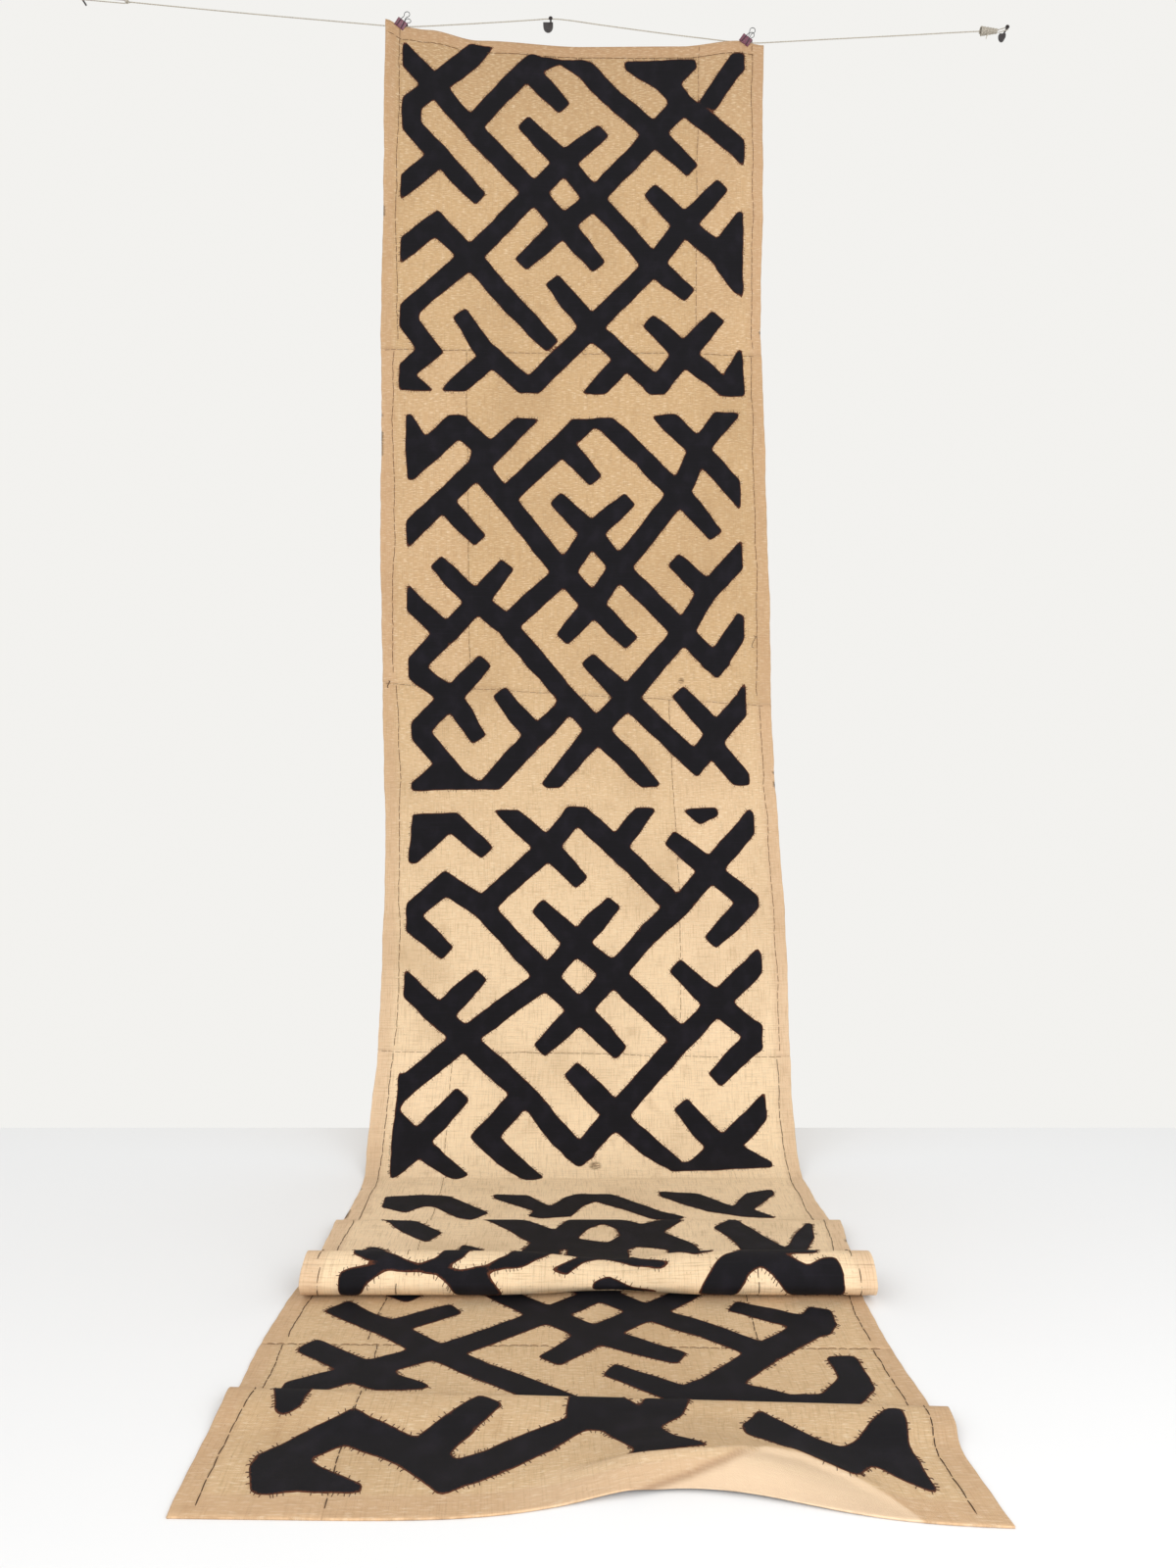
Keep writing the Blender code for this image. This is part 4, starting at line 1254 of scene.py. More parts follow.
SQUARE_4 = Square(
    "applique_4", (330.5, 2238.7), (52.0, 54.0), (-5.65, 5.6),
    ((-5.7, -4.9), (5.7, -4.9)), ((-5.7, 3.78), (5.7, 3.78)), "panel_4_main",
    bars=(),
    patches=(
        ((-5.6, -4.2), (-4.5, -4.4), (-3.8, -4.3), (-2.6, -3), (-3, -2.5), (-3.4, -2.65), (-4.1, -3.45),
         (-4.4, -3.5), (-4.8, -3), (-5.5, -3.4)),
        ((-2.6, -4.45), (-1.6, -4.35), (-1, -3.5), (-0.6, -4.2), (-0.2, -4.45), (0.7, -4.45), (1.15, -4),
         (2, -3.1), (2.6, -2.7), (2.2, -2.35), (1.6, -2.6), (1, -3.2), (0.2, -3.9), (-0.05, -3.6),
         (-0.4, -2.75), (-1.2, -2.6), (-1.6, -2.75), (-1.4, -3.1), (-2.55, -4.1)),
        ((2, -4.65), (3.1, -4.48), (3.9, -3.5), (4.45, -4.5), (5.2, -4.85), (5.25, -4.4), (4.45, -3.3),
         (5, -2.6), (4.1, -2.72), (3.2, -3.1), (2.05, -4.2)),
        ((-5.3, -0.95), (-4.9, -0.8), (-4.35, -0.7), (-3.6, 0.1), (-3.95, 0.8), (-4.6, 0.1), (-5, -0.55)),
        ((-5.33, 1.32), (-5.33, 1.2), (-5.15, 1.05), (-4.72, 1.32)),
        ((-3.13, 1.32), (-3.05, 0.9), (-2.6, 1.2), (-2.52, 1.32)),
        ((-1.57, 1.32), (-1.45, 0.8), (-1.95, 0.05), (-2.8, -1), (-1.95, -1), (-1.55, -0.75),
         (-0.9, -0.05), (-0.5, -1), (0.6, -1), (1.25, -0.5), (1.95, -1), (2.4, -1), (1.8, 0.1),
         (2.5, 0.85), (2.65, 1.32), (1.87, 1.32), (1.5, 1.15), (1.15, 1.1), (0.98, 1.32), (-0.52, 1.32),
         (-0.6, 1.25), (-0.66, 1.32)),
        ((3.55, -1), (4.1, 0.05), (4.7, 1.15), (5, 0.25), (5.3, -0.55), (5.47, -0.55), (5.47, 0.4),
         (5.2, 1.32), (3.6, 1.32), (3.45, 0.6), (3.05, -0.25)),
        ((-5.33, 2.68), (-4.72, 2.68), (-4.55, 3), (-3.8, 3.28), (-3.4, 3.15), (-3.1, 2.68), (-2.52, 2.68),
         (-2.8, 3.15), (-3.2, 3.35), (-2.8, 3.37), (-2.3, 3.32), (-1.85, 3.1), (-1.57, 2.68),
         (-0.68, 2.68), (-0.97, 3.05), (-1.45, 3.33), (-1.95, 3.4), (-2.3, 3.43), (-2.05, 3.6),
         (-1.7, 3.85), (-2.85, 3.85), (-3.1, 3.6), (-3.4, 3.45), (-3.75, 3.42), (-4.4, 3.4), (-4.6, 3.47),
         (-4.9, 3.6), (-5.15, 3.85), (-5.5, 3.85), (-5.5, 3.4), (-4.8, 3.3), (-4.5, 3.28), (-5, 3.2),
         (-5.3, 3.05)),
        ((-0.52, 2.68), (0.96, 2.68), (1.15, 3), (1.9, 3.2), (1.55, 3.35), (0.95, 3.2), (0.3, 2.9),
         (-0.1, 3.1), (-0.5, 3.43), (-0.97, 3.37), (-0.6, 3.2), (-0.25, 2.9)),
        ((1.87, 2.68), (2.65, 2.68), (2.8, 2.95), (2.35, 3.08), (1.95, 2.8)),
        ((3.58, 2.68), (5.18, 2.68), (5.1, 3.05), (4.4, 3.05), (4.25, 3), (4.8, 3.33), (5.3, 3.12),
         (5.47, 3.12), (5.57, 3.4), (5.57, 3.85), (4.5, 3.85), (4.1, 3.58), (3.75, 3.33), (3.45, 3.45),
         (3.05, 3.85), (2.2, 3.85), (2.6, 3.46), (2.88, 3.14), (3.16, 3)),
        ((0.38, 3.42), (0, 3.6), (0.1, 3.85), (1.5, 3.85), (1.55, 3.7), (0.85, 3.6)),
        *(((left, 1.25), (right, 1.25), (right, 2.75), (left, 2.75)) for left, right in OVER_THE_CREST),
    ),
    holes=(((0.3, -0.5), (0.65, -0.15), (0.75, 0.3), (0.45, 0.75), (-0.3, 0.5), (0, -0.15)),),
    left_out=((2148.0, 2187.0),))

SQUARE_5 = Square(
    "applique_5", (350.4, 2827.4), (52.0, 54.0), (-5.95, 5.05),
    ((-6.0, -3.0), (5.1, -3.0)), ((-6.0, 6.9), (5.1, 6.75)), "panel_6_main",
    bars=(
        ((-5.65, -0.3), (-4.3, 0.75), (-3.3, 1.75), (-2.3, 2.5), (-1.2, 3.3), (-0.4, 3.75)),
        ((-4.3, 0.75), (-3.0, -0.15)),
        ((-2.6, -1.3), (-1, 0.15), (0, 1.05), (1.65, 1.95)),
        ((2.4, -1.3), (1.1, 0), (0, 1.0), (-1.0, 2.15)),
        ((0.4, -1.3), (-1, 0.15), (-3.1, 1.85)),
        ((-0.9, -1.7), (0, -0.95), (1.1, 0), (2.3, 0.85), (3.3, 1.7)),
        ((-3.3, 1.8), (-4.5, 2.6), (-5.9, 3.5), (-6.0, 4.2)),
        ((-5.85, 1.55), (-4.5, 2.6)),
        ((2.9, -0.3), (4.0, 0.3), (4.6, 0.55)),
        ((4.9, -0.15), (4.6, 0.55), (3.3, 1.75), (2.1, 2.9), (1.5, 3.35)),
        ((0.15, 2.4), (1.0, 2.95), (1.6, 3.4)),
        ((1.3, 3.3), (2.4, 3.05), (3.4, 3.5), (4.2, 3.4), (4.85, 2.7), (4.8, 1.8)),
        ((-5.62, 6.24), (-4.35, 5.35), (-3.2, 5.95), (-2.6, 6.45), (-1.85, 6.15), (-1, 5.65),
         (-0.45, 5.2)),
        ((-2.02, 4.62), (-2.45, 5.2), (-3, 5.9), (-2.65, 6.4)),
    ),
    patches=(
        ((-4.75, -0.9), (-3.75, -0.9), (-4.1, -0.4)),
        ((-4.9, 2.2), (-4.1, 2.1), (-3.85, 2.75), (-3.2, 3.15), (-3.3, 3.3), (-4.2, 3.35), (-4.7, 3.1),
         (-5.1, 2.85)),
        ((4.75, -0.15), (4.95, -0.15), (5.05, 0.55), (4.8, 0.95), (4.3, 1.2)),
        ((-6, 4.3), (-5.2, 4.3), (-5.3, 5), (-5.55, 5.2), (-5.75, 5.1), (-5.9, 4.6)),
        ((-5.81, 6.15), (-4.81, 6.05), (-4.8, 6.17), (-3.9, 6.6), (-3.85, 6.76), (-4.86, 6.77),
         (-5.48, 6.85), (-5.65, 6.78)),
        ((-0.7, 4.3), (0.25, 4.3), (0.35, 4.5), (0.54, 4.74), (0.66, 4.4), (1.45, 4.3), (1.3, 4.95),
         (0.95, 5.45), (1.15, 5.95), (1.62, 6.5), (0.95, 6.55), (0.27, 6.62), (0.4, 6.35), (-0.05, 5.5),
         (-0.5, 5.4), (-0.75, 4.95)),
        ((2.58, 4.72), (3.13, 5.22), (3.5, 5.48), (3.87, 5.66), (4.15, 5.45), (4.55, 4.8), (4.8, 4.58),
         (5.05, 4.6), (5.04, 5.28), (5.05, 6), (5.08, 6.65), (4.95, 6.7), (4.6, 6.45), (4.25, 6.1),
         (3.78, 6.58), (3.02, 6.25), (2.68, 5.9), (2.35, 5.7), (2.25, 5.25)),
    ),
    left_out=((3046.0, 3064.0),))


@dataclass
class Applique:
    """Black raffia patches of one square, raised on the cloth, and the stitches that hold their edges."""

    square: Square
    seed: int
    bar_width: float = 35.0
    end_width: float = 29.0
    taper_length: float = 62.0
    border_reach: float = 16.0
    free_share: float = 0.62
    grid_step: float = 2.5
    mesh_step: float = 4.5
    margin: float = 12.0
    rise: float = 0.5
    edge_rise: float = 0.3
    edge_reach: float = 3.5
    sunk: float = 0.3
    wander: float = 1.5
    fray: float = 0.35
    stitch_share: float = 0.58
    stitch_radius: float = 0.40
    stitch_crown: float = 0.55
    distances: Array = field(default_factory=lambda: np.zeros((0, 0)))
    t_grid: Array = field(default_factory=lambda: np.zeros(0))
    s_grid: Array = field(default_factory=lambda: np.zeros(0))

    def in_mm(self, route: Route) -> Array:
        """Lattice steps as t and s in mm."""
        return np.array(self.square.centre) + np.array(route, float) * np.array(self.square.step)

    def sides(self) -> list[float]:
        """Places across of the square's left and right border in mm."""
        return [self.square.centre[0] + side * self.square.step[0] for side in self.square.sides]

    @staticmethod
    def mitre(first: Array, second: Array, half: float) -> float:
        """How far both bars run past a bend: half * tan(half the turn), and no more than half."""
        turn = math.acos(float(np.clip(first @ second, -1, 1)))
        return half * min(math.tan(turn / 2), 1.0)

    def loose_end(self, bars: list[Array], number: int, tip: Array) -> bool:
        """Tell whether a bar's tip stands free.

        Args:
            bars: Every bar's centreline in mm.
            number: Which bar the tip belongs to.
            tip: The tip (t, s).

        Returns:
            Whether it is clear of the other bars and of the square's border.
        """
        left, right = self.sides()
        if not left + self.border_reach < tip[0] < right - self.border_reach:
            return False
        for other, route in enumerate(bars):
            for start, end in zip(route, route[1:]):
                if other == number and (np.allclose(start, tip) or np.allclose(end, tip)):
                    continue
                along, off, length = off_segment(tip[0], tip[1], start, end)
                if np.hypot(off, max(0.0, -along, along - length)) < self.bar_width * self.free_share:
                    return False
        return True

    def bar_distance(self, t: Array, s: Array) -> Array:
        """Distance outside the bars, below nought inside them.

        Each segment is a rectangle: max(|off| - half width, -along, along - length). A bend adds its
        mitre to both segments, and a loose end tapers.

        Args:
            t: Places across the cloth in mm.
            s: Places along the cloth in mm.

        Returns:
            The distance at each place in mm.
        """
        best = np.full(t.shape, 1e3)
        bars = [self.in_mm(route) for route in self.square.bars]
        half, taper = self.bar_width / 2, (self.bar_width - self.end_width) / 2
        for number, route in enumerate(bars):
            ahead = unit(np.diff(route, axis=0))
            past = [0.0, *(self.mitre(one, two, half) for one, two in zip(ahead, ahead[1:])), 0.0]
            loose = (self.loose_end(bars, number, route[0]), self.loose_end(bars, number, route[-1]))
            for index, (start, end) in enumerate(zip(route, route[1:])):
                along, off, length = off_segment(t, s, start, end)
                size = np.full(t.shape, half)
                if index == 0 and loose[0]:
                    size = size - taper * (1.0 - smooth_step(along, 0.0, self.taper_length))
                if index == len(route) - 2 and loose[1]:
                    size = size - taper * (1.0 - smooth_step(length - along, 0.0, self.taper_length))
                beyond = np.maximum(-past[index] - along, along - length - past[index + 1])
                best = np.minimum(best, np.maximum(np.abs(off) - size, beyond))
        return best

    def patch_distance(self, t: Array, s: Array, shape: Route) -> Array:
        """Distance to a filled shape's outline, below nought inside it by the even-odd rule.

        Args:
            t: Places across the cloth in mm.
            s: Places along the cloth in mm.
            shape: The shape's corners in lattice steps.

        Returns:
            The distance at each place in mm.
        """
        points = self.in_mm(shape)
        best = np.full(t.shape, 1e6)
        inside = np.zeros(t.shape, bool)
        for start, end in zip(points, np.roll(points, -1, axis=0)):
            ahead = end - start
            share = ((t - start[0]) * ahead[0] + (s - start[1]) * ahead[1]) / max(ahead @ ahead, 1e-9)
            share = np.clip(share, 0, 1)
            beside = (t - start[0] - share * ahead[0]) ** 2 + (s - start[1] - share * ahead[1]) ** 2
            best = np.minimum(best, beside)
            if start[1] != end[1]:
                crossing = (start[1] > s) != (end[1] > s)
                inside ^= crossing & (t < ahead[0] * (s - start[1]) / ahead[1] + start[0])
        return np.sqrt(best) * np.where(inside, -1.0, 1.0)

    def measure(self) -> None:
        """Fill the field of distances to the black shapes' outline.

        The nearest of the bars and patches, less the holes, inside the border, on places bent by slow
        waves. The field is blurred so that corners are soft, and a fine wave frays the edge.
        """
        top, foot = self.in_mm(self.square.top), self.in_mm(self.square.foot)
        left, right = self.sides()
        reach = np.concatenate([top[:, 1], foot[:, 1]])
        self.t_grid = np.arange(left - self.margin, right + self.margin, self.grid_step)
        self.s_grid = np.arange(reach.min() - self.margin, reach.max() + self.margin, self.grid_step)
        t, s = np.meshgrid(self.t_grid, self.s_grid)
        bend_t, bend_s = Waves(self.seed, 150.0, 18.0, 8), Waves(self.seed + 1, 150.0, 18.0, 8)
        t_bent = t + self.wander * bend_t(t, s)
        s_bent = s + self.wander * bend_s(t, s)
        distance = self.bar_distance(t_bent, s_bent)
        for shape in self.square.patches:
            distance = np.minimum(distance, self.patch_distance(t_bent, s_bent, shape))
        for shape in self.square.holes:
            distance = np.maximum(distance, -self.patch_distance(t_bent, s_bent, shape))
        distance = np.maximum(distance, np.interp(t_bent, top[:, 0], top[:, 1]) - s_bent)
        distance = np.maximum(distance, s_bent - np.interp(t_bent, foot[:, 0], foot[:, 1]))
        distance = np.maximum(distance, np.maximum(left - t_bent, t_bent - right))
        distance = np.clip(distance, -self.margin, self.margin)
        for axis in (0, 1, 0, 1):
            distance = (np.roll(distance, 1, axis) + 2 * distance + np.roll(distance, -1, axis)) / 4
        distance = distance + self.fray * Waves(self.seed + 2, 9.0, 5.0, 5)(t, s)
        for low, high in self.square.left_out:
            distance = np.maximum(distance, np.minimum(s - low, high - s))
        self.distances = distance

    def read(self, t: Array, s: Array) -> Array:
        """The field at any places, by straight interpolation between its four neighbours."""
        column = np.clip((t - self.t_grid[0]) / self.grid_step, 0, len(self.t_grid) - 1.001)
        row = np.clip((s - self.s_grid[0]) / self.grid_step, 0, len(self.s_grid) - 1.001)
        i, j = row.astype(int), column.astype(int)
        a, b = row - i, column - j
        cells = self.distances
        return ((1 - a) * ((1 - b) * cells[i, j] + b * cells[i, j + 1])
                + a * ((1 - b) * cells[i + 1, j] + b * cells[i + 1, j + 1]))

    @staticmethod
    def crossing(first: Array, second: Array, one: Array, two: Array) -> Array:
        """Where the field is nought: one + (two - one) * first / (first - second)."""
        share = np.clip(first / np.where(first == second, 1.0, first - second), 0.04, 0.96)
        return one + (two - one) * share[..., None]

    def cut_cells(self, distance: Array, t: Array, s: Array) -> tuple[Array, ...]:
        """Fill the inside of the outline on a grid, by the sixteen cases of a cell's corners.

        Each case's polygon is a fan over its inner corners and the crossings between them. The outline
        runs from each crossing where the inside ends back to the one where it starts. Where two opposite
        corners are inside, it cuts off the outer corner that follows.

        Args:
            distance: Distance field at the grid's points, below nought inside.
            t: Places across at the grid's points.
            s: Places along at the grid's points.

        Returns:
            Places (t, s) of the points, their distance inside, the triangles, and the outline's segments.
        """
        rows, columns = distance.shape
        count = rows * columns
        grid = np.arange(count).reshape(rows, columns)
        place = np.stack([t, s], axis=-1)
        over = self.crossing(distance[:, :-1], distance[:, 1:], place[:, :-1], place[:, 1:])
        down = self.crossing(distance[:-1], distance[1:], place[:-1], place[1:])
        over_index = count + np.arange(rows * (columns - 1)).reshape(rows, columns - 1)
        down_index = over_index[-1, -1] + 1 + np.arange((rows - 1) * columns).reshape(rows - 1, columns)
        points = np.vstack([place.reshape(-1, 2), over.reshape(-1, 2), down.reshape(-1, 2)])
        inside = distance < 0
        corner = [grid[:-1, :-1], grid[1:, :-1], grid[1:, 1:], grid[:-1, 1:]]
        middle = [down_index[:, :-1], over_index[1:], down_index[:, 1:], over_index[:-1]]
        state = [inside[:-1, :-1], inside[1:, :-1], inside[1:, 1:], inside[:-1, 1:]]
        code = sum(flag.astype(int) << bit for bit, flag in enumerate(state))
        triangles, outline = [], []
        for case in range(1, 16):
            mask = code == case
            if not mask.any():
                continue
            held = [bool(case >> bit & 1) for bit in range(4)]
            opposite = held[0] == held[2] != held[1] == held[3]
            ring = []
            for bit in range(4):
                after = (bit + 1) % 4
                if held[bit]:
                    ring.append(corner[bit][mask])
                if held[bit] != held[after]:
                    ring.append(middle[bit][mask])
                if held[bit] and not held[after]:
                    back = next(step for step in (1, 2, 3) if not held[bit - step])
                    edge = after if opposite else (bit - back) % 4
                    outline.append(np.stack([middle[bit][mask], middle[edge][mask]], axis=-1))
            for one, two in zip(ring[1:], ring[2:]):
                triangles.append(np.stack([ring[0], one, two], axis=-1))
        inner = np.concatenate([-distance.ravel(), np.zeros(len(points) - count)])
        return points, inner, np.vstack(triangles), np.vstack(outline)

    def build(self, finishes: Finishes) -> list[Piece]:
        """Make the raised patches and their stitches.

        The field is cut on a grid that follows the cloth's rows, the cut face is lifted over the cloth
        and falls a little towards its outline, and walls join it to a copy sunk into the cloth.

        Args:
            finishes: The materials.

        Returns:
            The patches and their stitches.
        """
        self.measure()
        low, high = DRAPE.line_at(self.s_grid[[0, -1]])
        s_rows = DRAPE.along(DRAPE.rows(float(low), float(high)))
        fine = [np.linspace(a, b, max(1, math.ceil((b - a) / self.mesh_step)), endpoint=False)
                for a, b in zip(s_rows, s_rows[1:])]
        s_rows = np.concatenate(fine + [s_rows[-1:]])
        t, s = np.meshgrid(np.arange(self.t_grid[0], self.t_grid[-1], self.mesh_step), s_rows)
        places, inner, triangles, outline = self.cut_cells(self.read(t, s), t, s)
        used, index = np.unique(triangles, return_inverse=True)
        triangles = index.reshape(triangles.shape)
        renumber = np.full(len(places), -1)
        renumber[used] = np.arange(len(used))
        outline = renumber[outline]
        outline = outline[(outline >= 0).all(axis=1)]
        places, inner = places[used], inner[used]
        slope = (self.rise - self.edge_rise) * smooth_step(inner, 0.0, self.edge_reach)
        top = DRAPE.on_cloth(places[:, 0], places[:, 1], HALF_THICK + self.edge_rise + slope)
        base = DRAPE.on_cloth(places[:, 0], places[:, 1], HALF_THICK - self.sunk)
        count = len(places)
        first, second = outline.T
        walls = np.stack([second, first, first + count, second + count], axis=-1)
        faces = [triangles, triangles[:, ::-1] + count, walls]
        patch = make_object(self.square.name, np.vstack([top, base]), faces, finishes.black,
                            np.vstack([places, places]), rim=np.concatenate([inner, inner]))
        return [fit(patch), self.stitches(places, outline, finishes)]

    def stitches(self, places: Array, outline: Array, finishes: Finishes) -> Piece:
        """Short slanted stitches over the outline, drawn by chance along it.

        Args:
            places: Places (t, s) of the patches' points.
            outline: The outline's segments, as pairs of their indices.
            finishes: The materials.

        Returns:
            The stitches.
        """
        draw = np.random.default_rng(self.seed + 9)
        start, end = places[outline[:, 0]], places[outline[:, 1]]
        length = np.linalg.norm(end - start, axis=1)
        keep = draw.random(len(outline)) < self.stitch_share * length / self.mesh_step
        middle = (start + end)[keep] / 2
        ahead = unit((end - start)[keep])
        out = np.stack([ahead[:, 1], -ahead[:, 0]], axis=-1)
        here = self.read(middle[:, 0], middle[:, 1])
        there = self.read(*(middle + out * self.grid_step).T)
        out = out * np.where(there > here, 1.0, -1.0)[:, None]
        slant = ahead * draw.uniform(-1.2, 1.2, (len(middle), 1))
        outer = middle + out * draw.uniform(1.8, 4.0, (len(middle), 1)) + slant
        inner = middle - out * draw.uniform(1.2, 2.4, (len(middle), 1)) - slant
        return sew(f"{self.square.name}_stitches", inner, outer, self.stitch_radius, self.stitch_crown,
                   finishes.edge_thread)


# Sewing

def sew(name: str, start: Array, end: Array, radius: float, crown: float,
        material: Material) -> Piece:
    """Many straight stitches as one mesh, each a three-sided thread that dips into the cloth at both ends.

    Args:
        name: The object's name.
        start: Places (t, s) where the stitches start.
        end: Places (t, s) where they end.
        radius: The thread's radius in mm.
        crown: Height of a stitch's middle above the cloth's front in mm.
        material: The thread's material.

    Returns:
        The object.
    """
    middle = (start + end) / 2
    rings = []
    dip = 0.15
    for place, lift in ((start, dip), (start * 0.65 + end * 0.35, crown),
                        (middle * 0.7 + end * 0.3, crown), (end, dip)):
        rings.append(DRAPE.on_cloth(place[:, 0], place[:, 1], HALF_THICK + lift))
    rings = np.stack(rings, axis=1)
    above, on = (DRAPE.on_cloth(middle[:, 0], middle[:, 1], lift) for lift in (3.0, 0.0))
    normal = unit(above - on)
    side = unit(np.cross(rings[:, -1] - rings[:, 0], normal))
    angle = np.array([math.pi / 2, math.pi / 2 + math.tau / 3, math.pi / 2 + 2 * math.tau / 3])
    cos, sin = np.cos(angle)[None, :, None], np.sin(angle)[None, :, None]
    offset = (cos * side[:, None] + sin * normal[:, None]) * radius
    points = rings[:, :, None] + offset[:, None]
    count, steps, sides = points.shape[:3]
    one = grid_faces(steps, sides, wrap=True)
    shift = (np.arange(count) * steps * sides)[:, None, None]
    quads = (one[None] + shift).reshape(-1, 4)
    cap = np.array([[0, 1, 2], [(steps - 1) * sides + 2, (steps - 1) * sides + 1, (steps - 1) * sides]])
    caps = (cap[None] + shift).reshape(-1, 3)
    places = np.repeat(middle[:, None], steps * sides, axis=1)
    thread = make_object(name, points.reshape(-1, 3), [quads, caps], material, places.reshape(-1, 2))
    return fit(thread)


@dataclass(frozen=True)
class SeamRun:
    """A row of running stitches between two places, with its stitch and gap lengths and its wander."""

    start: tuple[float, float]
    end: tuple[float, float]
    stitch: float = 8.0
    gap: float = 6.0
    wander: float = 1.4
    slant: float = 0.5


class Sewing:
    """Hem rows, seam rows and loose threads of the whole cloth."""

    HEM_LEFT = 23.0
    HEM_RIGHT = 636.0
    TOP_HEM = 20.0
    HIDDEN_SEAM = 4
    SIDE_SEAMS = ((0, 541.0), (1, 146.0), (2, 482.0), (3, 117.0), (4, 109.0), (4, 520.0), (5, 121.0))

    def runs(self) -> dict[str, list[SeamRun]]:
        """Every straight row of stitches on the cloth, by the thread that it is sewn with."""
        rows: dict[str, list[SeamRun]] = {"hem": [], "low_hem": [], "seam": []}
        for number in range(len(SEAMS) - 1):
            for edge in (self.HEM_LEFT, self.HEM_RIGHT):
                low, high = float(DRAPE.seam(number, edge)), float(DRAPE.seam(number + 1, edge))
                kind = "hem" if number < 3 else "low_hem"
                drift = 3 * (-1) ** number
                rows[kind].append(SeamRun((edge, low + 4), (edge + drift, high - 4), 12.0, 1.5, 2.6))
        for number, t in self.SIDE_SEAMS:
            low, high = float(DRAPE.seam(number, t)), float(DRAPE.seam(number + 1, t))
            kind = "low_hem" if number > 3 else "seam"
            rows[kind].append(SeamRun((t + 1.5, low + 3), (t + 1.5, high - 3), 9.0, 3.0, 1.2))
        for number in range(1, len(SEAMS) - 1):
            if number == self.HIDDEN_SEAM:
                continue
            low, high = float(DRAPE.seam(number, 6.0)), float(DRAPE.seam(number, 649.0))
            rows["seam"].append(SeamRun((6.0, low + 1.5), (649.0, high + 1.5), 9.0, 2.0, 1.4))
        rows["hem"].append(SeamRun((5.0, self.TOP_HEM), (650.0, self.TOP_HEM), 11.0, 1.2, 1.0))
        return rows

    def build(self, finishes: Finishes, black: Sequence[Applique]) -> list[Piece]:
        """Make the rows, hidden where the black is over them, and the loose thread ends.

        Args:
            finishes: The materials.
            black: The squares' patches, already measured.

        Returns:
            The rows of each thread and the loose ends.
        """
        draw = np.random.default_rng(SEED + 30)
        threads = {"hem": (0.50, finishes.brown_thread), "low_hem": (0.54, finishes.dark_thread),
                   "seam": (0.34, finishes.brown_thread)}
        made = []
        for kind, runs in self.runs().items():
            starts, ends = [], []
            for number, run in enumerate(runs):
                first, last = np.array(run.start), np.array(run.end)
                length = float(np.linalg.norm(last - first))
                at = np.arange(0.0, length - run.stitch, run.stitch + run.gap)
                at = at + draw.uniform(-0.6, 0.6, len(at))
                size = run.stitch * draw.uniform(0.85, 1.12, len(at))
                ahead = (last - first) / length
                beside = np.array([-ahead[1], ahead[0]])
                drift = [run.wander * EDGE_WANDER(at + step + 977.0 * number, 0.0 * at)
                         for step in (0.0, size)]
                start = first + at[:, None] * ahead + drift[0][:, None] * beside
                end = first + (at + size)[:, None] * ahead + drift[1][:, None] * beside
                end = end + draw.uniform(-run.slant, run.slant, len(at))[:, None] * beside
                middle = (start + end) / 2
                open_cloth = np.all([patch.read(middle[:, 0], middle[:, 1]) > 0 for patch in black], axis=0)
                starts.append(start[open_cloth])
                ends.append(end[open_cloth])
            radius, material = threads[kind]
            made.append(sew(f"{kind}_stitches", np.vstack(starts), np.vstack(ends), radius, 0.75, material))
        return [*made, *self.loose_threads(finishes)]

    def loose_threads(self, finishes: Finishes) -> list[Piece]:
        """Thread ends that lie curled on the cloth."""
        ends = (
            ("thread_end_right", 628.0, 1018.0, 24.0, 0.35, finishes.dark_thread),
            ("thread_end_left", 10.0, 1096.0, 14.0, 0.6, finishes.dark_thread),
        )
        made = []
        turn = np.linspace(0.0, 3.6, 26)
        for name, t, s, length, radius, material in ends:
            across = t + length * 0.16 * np.sin(1.7 * turn)
            along = s + length * turn / turn[-1] + length * 0.12 * np.cos(2.3 * turn)
            path = DRAPE.on_cloth(across, along, HALF_THICK + radius * 0.9 + 0.5 * np.sin(turn) ** 2)
            points, faces = tube(path, radius, 5)
            made.append(fit(make_object(name, points, faces, material)))
        return made


# Line, nails and saddles

